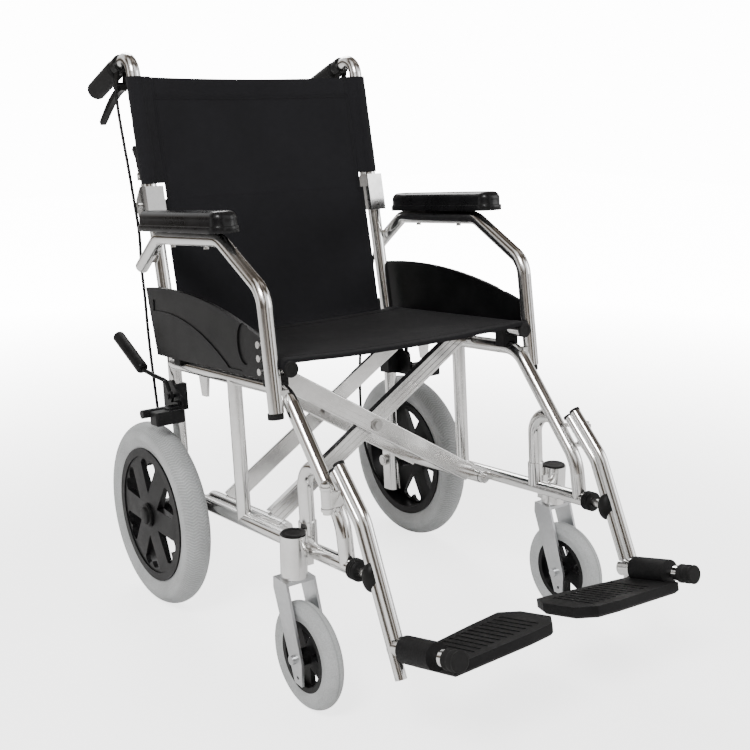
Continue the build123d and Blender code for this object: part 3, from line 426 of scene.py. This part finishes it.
def grey_tyre(name, centre, radius, teeth, strength):
    """Grey polyurethane, speckled, with a zigzag tread round the wheel, or with no teeth one mould line;
    painted shade darkens the grooves.
    """
    material, tree, shader, place = new_material(name, (0.32, 0.33, 0.335), 0.55)
    shades = use_group(tree, speckle, {"Vector": place, "Scale": 520.0, "Dark": (0.36, 0.372, 0.375, 1),
                                       "Light": (0.50, 0.515, 0.52, 1)})
    shine = use_group(tree, polish, {"Vector": place, "Scale": 18.0, "Low": 0.46, "High": 0.66})
    centred = add_node(tree, "ShaderNodeMapping", {"Vector": place, "Location": (0, -centre.y, -centre.z)})
    axes = add_node(tree, "ShaderNodeSeparateXYZ", {"Vector": centred.outputs["Vector"]})
    angle = maths(tree, "ARCTAN2", axes.outputs["Z"], axes.outputs["Y"])
    swing = maths(tree, "PINGPONG", axes.outputs["X"], ZIGZAG)
    phase = maths(tree, "ADD", maths(tree, "MULTIPLY", angle, teeth),
                  maths(tree, "MULTIPLY", swing, ZIGZAG_TURN))
    wave = maths(tree, "SINE", phase)
    ribs = ranged(tree, wave, -0.3, 0.3, 0.0, 1.0)
    if teeth == 0:
        middle = maths(tree, "ABSOLUTE", maths(tree, "SUBTRACT", axes.outputs["X"], centre.x))
        ribs = ranged(tree, middle, 0.0006, 0.0014, 0.0, 1.0)
    across = maths(tree, "POWER", axes.outputs["Y"], 2.0)
    upright = maths(tree, "POWER", axes.outputs["Z"], 2.0)
    reach = maths(tree, "SQRT", maths(tree, "ADD", across, upright))
    tread = ranged(tree, reach, radius * 0.90, radius * 0.93, 0.0, 1.0)
    bump = add_node(tree, "ShaderNodeBump", {"Strength": strength, "Distance": 0.0012,
                                             "Height": maths(tree, "MULTIPLY", ribs, tread)})
    # Painted shade: the colour is darkened in the tread's grooves and in the mould line, where the bump makes
    # them low.
    groove_painted_shade = maths(tree, "MULTIPLY", maths(tree, "SUBTRACT", 1.0, ribs), maths(tree, "MULTIPLY", tread, 0.45))
    tree.links.new(mixed(tree, groove_painted_shade, shades["Color"], (0.22, 0.23, 0.235, 1)), shader.inputs["Base Color"])
    tree.links.new(shine["Roughness"], shader.inputs["Roughness"])
    tree.links.new(bump.outputs["Normal"], shader.inputs["Normal"])
    return material


def wheel_tyre(side, wheel, spin, teeth, strength):
    """The tyre material of one wheel, centred on its axle."""
    low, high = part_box(wheel + "_tyre_" + side)
    centre = Vector(joints[spin + "_" + side]["pos_m"])
    return grey_tyre(wheel + "_tyre_" + side, centre, (high.z - low.z) / 2, teeth, strength)


tyre_finish = {}
for side in ("left", "right"):
    tyre_finish["rear_tyre_" + side] = wheel_tyre(side, "rear", "rear_wheel_spin", REAR_TEETH, 0.7)
    tyre_finish["caster_tyre_" + side] = wheel_tyre(side, "caster", "caster_spin", 0, 0.5)
print("tyres:", sorted(tyre_finish))


# %% Woven nylon
def woven(name, dark, light, yarns, strength, sheen):
    """Black woven nylon that takes its weave from the piece's own UV map."""
    material, tree, shader, place = new_material(name, dark, 0.8)
    shader.inputs["Specular IOR Level"].default_value = 0.08
    shader.inputs["Sheen Weight"].default_value = sheen
    shader.inputs["Sheen Roughness"].default_value = 0.45
    cloth = tree.nodes.new("ShaderNodeUVMap")
    cloth.uv_map = "cloth"
    yarn = use_group(tree, weave, {"Vector": cloth.outputs["UV"], "Yarns per metre": yarns})
    wear = use_group(tree, polish, {"Vector": place, "Scale": 9.0, "Low": 0.66, "High": 0.88})
    # The weave's painted shade darkens the colour between the yarns and lightens it on them.
    tone = mixed(tree, yarn["Shade"], (*dark, 1), (*light, 1))
    faded = tuple(channel * 1.5 for channel in light)
    tree.links.new(mixed(tree, maths(tree, "MULTIPLY", wear["Mask"], 0.35), tone, (*faded, 1)),
                   shader.inputs["Base Color"])
    tree.links.new(wear["Roughness"], shader.inputs["Roughness"])
    bump = add_node(tree, "ShaderNodeBump",
                    {"Strength": strength, "Distance": 0.0004, "Height": yarn["Height"]})
    tree.links.new(bump.outputs["Normal"], shader.inputs["Normal"])
    return material


back_cloth = woven("back_cloth", (0.0060, 0.0060, 0.0068), (0.0170, 0.0170, 0.0195), 900.0, 0.5, 0.04)
seat_cloth = woven("seat_cloth", (0.0035, 0.0035, 0.004), (0.012, 0.012, 0.0135), 560.0, 0.8, 0.04)
thread = moulded("thread", (0.010, 0.010, 0.011), (0.018, 0.018, 0.019), 0.5, 0.7, 2000.0, 0.3)
print("cloth:", back_cloth.name, seat_cloth.name, thread.name)

# %% [markdown]
# The floor is pale paint. Seen directly it also glows, more and more with distance, so that it fades into the
# white sky without a horizon. Light that only bounces off it meets plain paint.

# %% Floor paint
FLOOR_GLOW = 2.6                  # under the chair
FADE_FROM, FADE_TO = 0.6, 2.8     # metres from the chair

floor_paint, tree, shader, place = new_material("floor_paint", (0.90, 0.90, 0.90), 0.7)
floor.data.materials.append(floor_paint)
floor_polish = use_group(tree, polish, {"Vector": place, "Scale": 3.0, "Low": 0.6, "High": 0.75})
tree.links.new(floor_polish["Roughness"], shader.inputs["Roughness"])
away = add_node(tree, "ShaderNodeVectorMath", {0: place}, operation="LENGTH").outputs["Value"]
fade = maths(tree, "POWER", ranged(tree, away, FADE_FROM, FADE_TO, 0.0, 1.0), 1.6)
glow = ranged(tree, fade, 0.0, 1.0, FLOOR_GLOW, WHITE)
seen = add_node(tree, "ShaderNodeLightPath").outputs["Is Camera Ray"]
tree.links.new(maths(tree, "MULTIPLY", glow, seen), shader.inputs["Emission Strength"])
shader.inputs["Emission Color"].default_value = (1.0, 1.0, 1.0, 1)
print("floor fades over", FADE_FROM, "to", FADE_TO, "m")

# %% Dress the CAD parts
FINISH = {
    "side_frame": silver_tube, "arm_tube": silver_tube, "back_cane": silver_tube,
    "cross_brace_a": silver_tube, "cross_brace_b": silver_tube, "footrest_hanger": silver_tube,
    "fold_bracket": silver_bracket, "caster_fork": silver_fork, "cross_brace_bolts": zinc_bolt,
    "rear_axle": zinc_bolt, "panel_fasteners": zinc_bolt, "footplate_pin": chrome_pin,
    "side_panel": panel_plastic, "seat_saddles": nylon_moulding, "fold_lever": nylon_moulding,
    "push_grip": grip_rubber, "brake_clamp": nylon_moulding, "brake_lever": lever_coat,
    "brake_cable_upper": cable_sheath, "brake_cable_lower": cable_sheath, "park_brake_bracket": powder_coat,
    "park_brake_lever": lever_coat, "park_brake_shoe": powder_coat, "caster_rim": rim_nylon,
    "rear_rim": rim_nylon, "footrest_latch": nylon_moulding, "footplate": plate_plastic,
    "arm_pad": pad_skin, "seat_fabric": seat_cloth, "back_fabric_upper": back_cloth,
    "back_fabric_lower": back_cloth,
}
for name, part in frame["nodes"].items():
    kind = name.replace("_left", "").replace("_right", "")
    finish = tyre_finish.get(name) or FINISH[kind]
    part.data.materials.clear()
    part.data.materials.append(finish)
print("dressed", len(frame["nodes"]), "CAD parts in", len(set(FINISH.values())) + 4, "finishes")

# %% [markdown]
# ## Tools for pieces
# New pieces are made in the level frame, shaped, leaned with the frame, and then tied to the body that
# carries them. The chair is the same on both sides, so a piece is made on the left and copied to the right.


# %% Piece helpers
def work_on(obj):
    """Select one object and make it the active one."""
    deselect()
    obj.select_set(True)
    bpy.context.view_layer.objects.active = obj


def pick_faces(obj, wanted):
    """In edit mode, select the faces that a test picks."""
    bpy.ops.mesh.select_mode(type="FACE")
    bpy.ops.mesh.select_all(action="DESELECT")
    bpy.ops.object.mode_set(mode="OBJECT")
    for face in obj.data.polygons:
        face.select = wanted(face)
    bpy.ops.object.mode_set(mode="EDIT")


def bevelled(obj, width, segments=3, angle=30):
    """Round every edge sharper than an angle."""
    work_on(obj)
    made = obj.modifiers.new("bevel", "BEVEL")
    made.width = width
    made.segments = segments
    made.limit_method = "ANGLE"
    made.angle_limit = math.radians(angle)
    made.harden_normals = False
    bpy.ops.object.modifier_apply(modifier=made.name)


def settle(obj, name, material, leaned=True, angle=35):
    """Name a finished piece, dress it, and write its place into its mesh."""
    work_on(obj)
    bpy.context.view_layer.update()
    if leaned:
        obj.matrix_world = LEAN @ obj.matrix_world
    bpy.ops.object.transform_apply(location=True, rotation=True, scale=True)
    bpy.ops.object.shade_smooth_by_angle(angle=math.radians(angle))
    obj.name = name
    obj.data.name = name
    obj.data.materials.clear()
    obj.data.materials.append(material)
    return obj


def mirrored(obj, name):
    """The same piece for the right side, with its own mesh."""
    twin = obj.copy()
    twin.data = obj.data.copy()
    twin.name = name
    bpy.context.scene.collection.objects.link(twin)
    twin.data.transform(Matrix.Scale(-1, 4, (1, 0, 0)))
    twin.data.flip_normals()
    return twin


def on_both_sides(left, name, body):
    """Tie a left piece and its mirrored twin to the bodies of each side."""
    right = mirrored(left, name + "_right")
    left.name = name + "_left"
    for obj, side in ((left, "left"), (right, "right")):
        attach(obj, body + "_" + side)
    return left, right


# %% [markdown]
# ## Arm pads
# Each pad is self-skinned foam on a flat base: a lip runs round the bottom, the top is crowned and both ends
# are round. A box is rounded in plan, its top is inset and raised over the lip, and the rim is bevelled wide.

# %% Arm pads
LIP_SHARE = 0.30                  # height of the base lip as a share of the pad
LIP_STEP = 0.0022
END_ROUND = 0.021
TOP_ROUND = 0.0125


def arm_pad():
    """The left arm pad, in the place of its CAD part."""
    low, high = level_box("arm_pad_left")
    middle = (low + high) / 2
    size = high - low
    lip = size.z * LIP_SHARE
    deselect()
    bpy.ops.mesh.primitive_cube_add(size=1, location=(middle.x, middle.y, low.z + lip / 2))
    pad = bpy.context.object
    pad.scale = (size.x, size.y, lip)
    bpy.ops.object.transform_apply(location=False, rotation=False, scale=True)
    bpy.ops.object.mode_set(mode="EDIT")
    bpy.ops.mesh.select_mode(type="EDGE")
    bpy.ops.mesh.select_all(action="DESELECT")
    bpy.ops.object.mode_set(mode="OBJECT")
    for edge in pad.data.edges:
        first, last = (pad.data.vertices[index].co for index in edge.vertices)
        edge.select = abs(first.z - last.z) > lip / 2
    bpy.ops.object.mode_set(mode="EDIT")
    bpy.ops.mesh.bevel(offset=END_ROUND, segments=10, profile=0.5)
    pick_faces(pad, lambda face: face.normal.z > 0.9)
    bpy.ops.mesh.inset(thickness=LIP_STEP)
    bpy.ops.mesh.extrude_region_move(TRANSFORM_OT_translate={"value": (0, 0, size.z - lip)})
    pick_faces(pad, lambda face: face.normal.z > 0.9 and face.center.z > lip)
    bpy.ops.mesh.bevel(offset=TOP_ROUND, segments=8, profile=0.55, affect="EDGES")
    bpy.ops.object.mode_set(mode="OBJECT")
    bevelled(pad, 0.0009, 2, 50)
    return settle(pad, "arm_pad_skin", pad_skin, angle=40)


pad_left, pad_right = on_both_sides(arm_pad(), "arm_pad_skin", "frame")
for pad, side in ((pad_left, "left"), (pad_right, "right")):
    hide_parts("arm_pad_" + side)
print("arm pad faces:", len(pad_left.data.polygons))

# %% [markdown]
# ## Slings
# The seat is one sheet that lies over the two seat tubes and curls round them, with a folded hem at the front
# and rear. A sheet is a grid of points: a row follows the cloth's width and the rows follow its length. Each
# point gets a little unevenness from smooth noise, strongest near the tubes, where the cloth is pulled.


# %% Sheet maker
def make_sheet(name, rows, thickness, material):
    """A cloth from rows of points in the level frame, with a UV map in metres and its real thickness."""
    count = len(rows[0])
    points = [point for row in rows for point in row]
    faces = []
    for r in range(len(rows) - 1):
        for c in range(count - 1):
            corner = r * count + c
            faces.append((corner, corner + 1, corner + count + 1, corner + count))
    mesh = bpy.data.meshes.new(name)
    mesh.from_pydata([tuple(point) for point in points], [], faces)
    across = [0.0]
    for first, last in zip(rows[0], rows[0][1:]):
        across.append(across[-1] + (last - first).length)
    middle = count // 2
    along = [0.0]
    for first, last in zip(rows, rows[1:]):
        along.append(along[-1] + (last[middle] - first[middle]).length)
    layer = mesh.uv_layers.new(name="cloth")
    for loop in mesh.loops:
        layer.data[loop.index].uv = (across[loop.vertex_index % count], along[loop.vertex_index // count])
    cloth = bpy.data.objects.new(name, mesh)
    bpy.context.scene.collection.objects.link(cloth)
    work_on(cloth)
    solid = cloth.modifiers.new("thickness", "SOLIDIFY")
    solid.thickness = thickness
    solid.offset = 0.0
    bpy.ops.object.modifier_apply(modifier=solid.name)
    cloth["flat"] = (across[-1], along[-1])
    settle(cloth, name, material, angle=60)
    return cloth


def crease(x, y, z, size, strength):
    """Smooth unevenness of a cloth at a place."""
    return noise.noise(Vector((x, y, z)) / size) * strength


# %% Seat sling
TUBE_R = 0.011
CLOTH = 0.0016
SEAT_SAG = 0.007
HEM = 0.024
HEM_RISE = 0.0009
seat_low, seat_high = level_box("seat_fabric")
seat_tube_x = seat_high.x - 0.006
seat_tube_z = seat_low.z - TUBE_R - 0.0004


def seat_section(steps=72, wrap_steps=9):
    """The seat's width: round the right tube, across with a slight sag, and round the left tube."""
    ring = TUBE_R + 0.0014
    wrap = [math.radians(4 + 86 * i / wrap_steps) for i in range(wrap_steps)]
    left = [(seat_tube_x + ring * math.cos(a), seat_tube_z + ring * math.sin(a), 0.0) for a in wrap]
    flat = []
    for i in range(steps + 1):
        x = seat_tube_x * (1 - 2 * i / steps)
        flat.append((x, seat_tube_z + ring, 1 - (x / seat_tube_x) ** 2))
    right = [(-x, z, share) for x, z, share in reversed(left)]
    return left + flat + right


def seat_rows(count=60):
    """Rows from the front hem to the rear hem; the first and last rows curl under."""
    length = seat_high.y - seat_low.y
    curl = 0.005
    rows = []
    for i in range(-4, count + 5):
        bend = max(0, -i, i - count) / 4
        share = min(max(i / count, 0), 1)
        y = seat_low.y + curl + (length - 2 * curl) * share
        y += curl * math.sin(bend * math.pi / 2) * (-1 if i < 0 else 1)
        fall = curl * (1 - math.cos(bend * math.pi / 2))
        edge = min(y - seat_low.y, seat_high.y - y)
        rise = HEM_RISE if edge < HEM else 0.0
        row = []
        for x, z, middle in seat_section():
            sag = SEAT_SAG * middle * (0.8 + 0.2 * math.sin(math.pi * share))
            pulled = crease(x, y * 0.6, 0.3, 0.05, 0.0011) * (0.35 + 0.65 * (1 - middle))
            row.append(Vector((x, y, z - sag * (middle > 0) - fall + rise + pulled * (middle > 0))))
        rows.append(row)
    return rows


seat = make_sheet("seat_sling", seat_rows(), CLOTH, seat_cloth)
print("seat sling", [round(v, 3) for v in seat["flat"]], "faces", len(seat.data.polygons))

# %% [markdown]
# The back is a flat sheet between the canes that ends at a seam each side. Outside the seam the cloth goes
# round the cane as a sleeve. Behind the hinge the back folds down, so the cloth above the hinge and the cloth
# below it are separate pieces that ride on different bodies, and the upper one hangs a little over the lower.

# %% Back slings
SEAM_IN = 0.025                   # from the cane to the seam
TOP_HEM = 0.030
FOOT_HEM = 0.022
UPPER_LAP = 0.006                 # how far the upper sheet hangs below its CAD part
LOWER_DROP = 0.034                # how far the lower sheet hangs below its CAD part
BACK_BILLOW = 0.011
TOP_SAG = 0.003
CANE_X = axle.x + abs(Vector(joints["back_fold_left"]["pos_m"]).x)
upper_low, upper_high = level_box("back_fabric_upper")
lower_low, lower_high = level_box("back_fabric_lower")


def cloth_line(node):
    """The sheet's place behind the seat as a function of height, from its lower and upper edges."""
    points = level_points(node)
    low, high = level_box(node)
    foot = [p.y for p in points if p.z < low.z + 0.002]
    head = [p.y for p in points if p.z > high.z - 0.002]
    first, last = (min(foot) + max(foot)) / 2, (min(head) + max(head)) / 2
    return lambda z: first + (last - first) * (z - low.z) / (high.z - low.z)


upper_line = cloth_line("back_fabric_upper")
lower_line = cloth_line("back_fabric_lower")


def back_rows(half, low, high, line, top_sag, billow, hem_low, hem_high, columns=64, count=70):
    """Rows from the lower edge to the upper edge of one back sheet."""
    rows = []
    for i in range(count + 1):
        share = i / count
        row = []
        for j in range(columns + 1):
            x = half * (1 - 2 * j / columns)
            middle = 1 - (x / half) ** 2
            z = low + (high - low) * share - top_sag * middle * share ** 3
            hemmed = (share * (high - low) < hem_low) or ((1 - share) * (high - low) < hem_high)
            push = billow * middle * (0.35 + 0.65 * math.sin(math.pi * min(1, share * 0.9 + 0.08)))
            pulled = crease(x * 0.8, z * 0.35, 1.7, 0.045, 0.0016) * (1.1 - 0.6 * middle)
            pulled += crease(x * 0.5, z, 4.1, 0.16, 0.0022)
            y = line(z) + push + pulled - (HEM_RISE if hemmed else 0.0)
            row.append(Vector((x, y, z)))
        rows.append(row)
    return rows


upper_half = CANE_X - SEAM_IN
lower_half = lower_high.x - 0.001
upper = make_sheet("back_sling_upper",
                   back_rows(upper_half, upper_low.z - UPPER_LAP, upper_high.z, upper_line, TOP_SAG,
                             BACK_BILLOW, 0.0, TOP_HEM), CLOTH, back_cloth)
lower = make_sheet("back_sling_lower",
                   back_rows(lower_half, lower_low.z - LOWER_DROP, lower_high.z, lower_line, 0.0,
                             BACK_BILLOW * 0.8, FOOT_HEM, 0.0), CLOTH, back_cloth)
print("back slings", [round(v, 3) for v in upper["flat"]], [round(v, 3) for v in lower["flat"]])


# %% Cane sleeves
def sleeve_rows(count=46):
    """A teardrop of cloth round the left cane, from above the hinge bracket to the top hem."""
    ring = TUBE_R + 0.0019
    foot = level_box("fold_bracket_left")[1].z + 0.004
    rows = []
    for i in range(count + 1):
        z = foot + (upper_high.z + 0.001 - foot) * i / count
        centre = upper_line(z) + 0.002
        tuck = 1 + 0.05 * noise.noise(Vector((3.1, z * 60, 0)))
        row = [Vector((CANE_X - SEAM_IN, centre - 0.0035, z)),
               Vector((CANE_X - SEAM_IN * 0.8, centre - 0.006, z))]
        for k in range(33):
            a = math.radians(42 + 276 * k / 32)
            row.append(Vector((CANE_X - ring * tuck * math.cos(a), centre - ring * tuck * math.sin(a), z)))
        row.append(Vector((CANE_X - SEAM_IN * 0.8, centre + 0.004, z)))
        row.append(Vector((CANE_X - SEAM_IN, centre + 0.0005, z)))
        rows.append(row)
    return rows


sleeve_left = make_sheet("back_sleeve_left", sleeve_rows(), CLOTH, back_cloth)
sleeve_right = mirrored(sleeve_left, "back_sleeve_right")
print("sleeve flat", [round(v, 3) for v in sleeve_left["flat"]])

# %% [markdown]
# ## Stitches
# Rows of thread hold the hems and seams. One stitch is a short bar with rounded ends. It is modelled once and
# copied along each seam, every 5 mm, lying on the cloth.

# %% Stitches
STITCH_LENGTH = 0.0034
STITCH_STEP = 0.0050
STITCH_R = 0.0005


def one_stitch():
    """A short thread bar along X, with rounded ends."""
    deselect()
    bpy.ops.mesh.primitive_cylinder_add(vertices=6, radius=STITCH_R, depth=STITCH_LENGTH,
                                        rotation=(0, math.pi / 2, 0))
    bar = bpy.context.object
    bpy.ops.object.transform_apply(location=True, rotation=True, scale=True)
    bevelled(bar, STITCH_R * 0.5, 1, 60)
    return bar


stitch = one_stitch()


def sew(name, paths, lift):
    """Stitches along paths of points in the level frame, joined into one piece."""
    copies = []
    for path in paths:
        total = 0.0
        for first, last in zip(path, path[1:]):
            run = last - first
            while total < run.length:
                bar = stitch.copy()
                bar.data = stitch.data.copy()
                place = Matrix.Translation(first + run.normalized() * total + lift)
                turn = run.to_track_quat("X", "Z").to_matrix().to_4x4()
                bar.data.transform(place @ turn)
                bpy.context.scene.collection.objects.link(bar)
                copies.append(bar)
                total += STITCH_STEP
            total -= run.length
    deselect()
    for bar in copies:
        bar.select_set(True)
    bpy.context.view_layer.objects.active = copies[0]
    bpy.ops.object.join()
    return settle(bpy.context.object, name, thread)


seat_grid = seat_rows()
front_seam = [seat_grid[i][9:-9] for i in range(len(seat_grid))
              if abs(seat_grid[i][40].y - seat_low.y - HEM - 0.003) < 0.003][:1]
rear_seam = [seat_grid[i][9:-9] for i in range(len(seat_grid))
             if abs(seat_high.y - HEM - 0.003 - seat_grid[i][40].y) < 0.003][:1]
seat_thread = sew("seat_stitches", front_seam + rear_seam, Vector((0, 0, 0.0012)))
upper_grid = back_rows(upper_half, upper_low.z - UPPER_LAP, upper_high.z, upper_line, TOP_SAG,
                       BACK_BILLOW, 0.0, TOP_HEM)
top_seam = [row for row in upper_grid if upper_high.z - row[0].z > TOP_HEM + 0.002][-1]
side_seams = [[row[column] for row in upper_grid] for column in (1, -2)]
back_thread = sew("back_stitches", [top_seam] + side_seams, Vector((0, -0.0014, 0)))
bpy.data.objects.remove(stitch)
print("stitch faces:", len(seat_thread.data.polygons) + len(back_thread.data.polygons))

# %% [markdown]
# ## Plugs and caps
# Open tube ends wear a black plug with a rounded rim and a shallow dish, and so do the caster housings. A
# plug is a cylinder whose face is inset and pushed in, with its rim bevelled.


# %% Plug maker
def plug(name, centre, axis, radius, length, material=nylon_moulding, leaned=True):
    """A black tube plug whose outer face looks along the axis."""
    deselect()
    bpy.ops.mesh.primitive_cylinder_add(vertices=40, radius=radius, depth=length)
    obj = bpy.context.object
    bpy.ops.object.mode_set(mode="EDIT")
    pick_faces(obj, lambda face: face.normal.z > 0.9)
    bpy.ops.mesh.inset(thickness=radius * 0.32)
    bpy.ops.mesh.extrude_region_move(TRANSFORM_OT_translate={"value": (0, 0, -length * 0.14)})
    bpy.ops.mesh.inset(thickness=radius * 0.2)
    bpy.ops.object.mode_set(mode="OBJECT")
    bevelled(obj, min(radius, length) * 0.18, 3, 40)
    axis = Vector(axis).normalized()
    turn = axis.to_track_quat("Z", "Y").to_matrix().to_4x4()
    obj.matrix_world = Matrix.Translation(Vector(centre) + axis * length / 2) @ turn
    return settle(obj, name, material, leaned)


# %% Seat tube and arm tube plugs
seat_plug_at = end_centre("cross_brace_b", (0, -1, 0))
seat_plug = plug("seat_tube_plug", seat_plug_at, (0, -1, 0), 0.0115, 0.005)
right_plug = mirrored(seat_plug, "seat_tube_plug_right")
seat_plug.name = "seat_tube_plug_left"
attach(seat_plug, "cross_b")
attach(right_plug, "cross_a")

arm_end = end_centre("arm_tube_left", (0, -0.05, -1), lambda p: p.y < level_box("seat_fabric")[0].y + 0.12)
arm_plug = plug("arm_tube_plug", arm_end, (0, -0.05, -1), 0.0114, 0.009)
on_both_sides(arm_plug, "arm_tube_plug", "frame")
print("plugs at", tuple(round(v, 3) for v in seat_plug_at), tuple(round(v, 3) for v in arm_end))

# %% Caster housing caps
HOUSING_CAP_R = 0.0172
cap_x, cap_y = joints["caster_swivel_left"]["pos_m"][:2]
heights = [round(vertex.co.z, 4) for vertex in frame["nodes"]["side_frame_left"].data.vertices
           if 0.013 < math.hypot(vertex.co.x - cap_x, vertex.co.y - cap_y) < 0.021 and vertex.co.z > 0.2]
housing_top = max(set(heights), key=heights.count)
cap = plug("caster_cap", (cap_x, cap_y, housing_top + 0.0002), (0, 0, 1), HOUSING_CAP_R, 0.0022, leaned=False)
on_both_sides(cap, "caster_cap", "frame")
print("caster housing top", housing_top)

# %% [markdown]
# The footrest tube is a twin tube with a black cap on each lobe. The caps sit on the two upper ends, which
# are found as the points that lie furthest up the tube's upper run.

# %% Footrest tube caps
UPPER_RUN = Vector((0, 0.661, 0.750))
LOBE_CAP_R = 0.0084
tops = [point for point in level_points("footrest_hanger_left") if abs(point.x - CANE_X) < 0.0085]
reach = max(point.dot(UPPER_RUN) for point in tops)
rim = [point for point in tops if point.dot(UPPER_RUN) > reach - 0.003]
split = sum(point.y for point in rim) / len(rim)
lobes = ([point for point in rim if point.y < split], [point for point in rim if point.y >= split])
for number, lobe in enumerate(lobes):
    name = "footrest_cap_" + str(number)
    centre = sum(lobe, Vector()) / len(lobe)
    on_both_sides(plug(name, centre, UPPER_RUN, LOBE_CAP_R, 0.004), name, "footrest")
    print(name, tuple(round(v, 3) for v in centre))

# %% [markdown]
# ## Footrest latch and bumper
# The latch has three pieces: a ridged collar on the end of the lower rail, a bright shaft and an oval knob.
# The plain CAD part is hidden. The footplate pin ends in a black bumper with two grooves,
# made as a sleeve over the pin's end, and a stepped cap covers the axle's nut on each rear wheel.


# %% Turned parts
TURNED_STEPS = 48


def turned(name, centre, axis, profile, material, leaned=True):
    """A part turned on a lathe: profile is (along the axis, radius), spun about the axis and closed."""
    mesh = bpy.data.meshes.new(name)
    mesh.from_pydata([(radius, 0.0, along) for along, radius in profile],
                     [(i, i + 1) for i in range(len(profile) - 1)], [])
    obj = bpy.data.objects.new(name, mesh)
    bpy.context.scene.collection.objects.link(obj)
    work_on(obj)
    bpy.ops.object.mode_set(mode="EDIT")
    bpy.ops.mesh.select_all(action="SELECT")
    bpy.ops.mesh.spin(steps=TURNED_STEPS, angle=math.tau, center=(0, 0, 0), axis=(0, 0, 1),
                      use_normal_flip=False)
    bpy.ops.mesh.select_all(action="SELECT")
    bpy.ops.mesh.remove_doubles(threshold=0.00001)
    bpy.ops.mesh.normals_make_consistent(inside=False)
    bpy.ops.object.mode_set(mode="OBJECT")
    axis = Vector(axis).normalized()
    turn = axis.to_track_quat("Z", "Y").to_matrix().to_4x4()
    obj.matrix_world = Matrix.Translation(Vector(centre)) @ turn
    return settle(obj, name, material, leaned)


def ridged(start, end, radius, count, depth):
    """A turned outline with shallow grooves between two places on the axis."""
    outline = [(start, 0.0), (start, radius * 0.86), (start + radius * 0.12, radius)]
    step = (end - start - radius * 0.3) / count
    for i in range(count):
        at = start + radius * 0.15 + step * (i + 0.35)
        outline += [(at, radius), (at + step * 0.15, radius - depth), (at + step * 0.45, radius - depth),
                    (at + step * 0.6, radius)]
    return outline + [(end - radius * 0.12, radius), (end, radius * 0.86), (end, 0.0)]


# %% Latch
COLLAR_R = 0.0148
COLLAR_END = 0.017                # along the axis, from the rail's end
SHAFT_R = 0.0065
SHAFT_START, SHAFT_END = 0.015, 0.033
KNOB_MIDDLE = 0.043
KNOB_HALF = (0.0150, 0.0130, 0.0215)
FORWARD = Vector((0, -1, 0))
latch_low, latch_high = level_box("footrest_latch_left")
latch_start = Vector(((latch_low.x + latch_high.x) / 2, latch_high.y, (latch_low.z + latch_high.z) / 2))
SHAFT_PROFILE = [(SHAFT_START, 0.0), (SHAFT_START, SHAFT_R), (SHAFT_END, SHAFT_R), (SHAFT_END, 0.0)]
collar = turned("latch_collar", latch_start, FORWARD, ridged(0.0, COLLAR_END, COLLAR_R, 3, 0.0012),
                nylon_moulding)
shaft = turned("latch_shaft", latch_start, FORWARD, SHAFT_PROFILE, zinc_bolt)
deselect()
bpy.ops.mesh.primitive_uv_sphere_add(segments=40, ring_count=20, radius=1)
knob = bpy.context.object
knob.scale = KNOB_HALF
knob.location = latch_start + FORWARD * KNOB_MIDDLE
bpy.ops.object.transform_apply(location=False, rotation=False, scale=True)
settle(knob, "latch_knob", nylon_moulding)
collars = on_both_sides(collar, "latch_collar", "footrest_latch")
for piece, side in zip(collars, ("left", "right")):
    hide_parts("footrest_latch_" + side)
on_both_sides(shaft, "latch_shaft", "footrest_latch")
on_both_sides(knob, "latch_knob", "footrest_latch")
print("latch from", tuple(round(v, 3) for v in latch_start))

# %% Bumper on the footplate pin
PIN_RISE = math.radians(10.4)     # the pin rises towards the front
BUMPER_R = 0.0134
BUMPER_LENGTH = 0.0257
BUMPER_ON_PIN = 0.0235            # the rest stands past the pin's end
pin_axis = Vector((0, -math.cos(PIN_RISE), math.sin(PIN_RISE)))
bumper_end = end_centre("footplate_pin_left", pin_axis)
bumper = turned("pin_bumper", bumper_end - pin_axis * BUMPER_ON_PIN, pin_axis,
                ridged(0.0, BUMPER_LENGTH, BUMPER_R, 2, 0.0010), grip_rubber)
on_both_sides(bumper, "pin_bumper", "footrest")
print("bumper at", tuple(round(v, 3) for v in bumper_end))

# %% Rear hub caps
HUB_PROFILE = [(0.0, 0.0), (0.0, 0.0185), (0.0065, 0.0180), (0.0075, 0.0145), (0.0108, 0.0138),
               (0.0118, 0.0118), (0.0118, 0.0)]
NUT_DEPTH = 0.011
hub_place = Vector(joints["rear_wheel_spin_left"]["pos_m"])
hub_place.x = max(vertex.co.x for vertex in frame["nodes"]["rear_axle_left"].data.vertices) - NUT_DEPTH
hub_cap = turned("hub_cap", hub_place, (1, 0, 0), HUB_PROFILE, nylon_moulding, leaned=False)
on_both_sides(hub_cap, "hub_cap", "rear_wheel")
print("hub cap at", tuple(round(v, 3) for v in hub_place))


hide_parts("seat_fabric")
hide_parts("back_fabric_upper")
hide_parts("back_fabric_lower")
seat_left_end = LEAN @ Vector((seat_tube_x * 0.92, seat_low.y, seat_low.z))
seat_right_end = LEAN @ Vector((-seat_tube_x * 0.92, seat_low.y, seat_low.z))
for obj in (seat, seat_thread):
    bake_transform(obj, "cross_b", "cross_a", start=seat_left_end, end=seat_right_end)
for obj, body, half in ((upper, "back_left", upper_half), (back_thread, "back_left", upper_half),
                        (lower, "frame_left", lower_half)):
    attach(obj, body)
    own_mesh(obj)
for obj, body in ((sleeve_left, "back_left"), (sleeve_right, "back_right")):
    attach(obj, body)

# %% [markdown]
# ## Finish
# The last cell leaves edit mode, selects nothing and updates the scene.

# %% Finish
deselect()
bpy.context.view_layer.update()
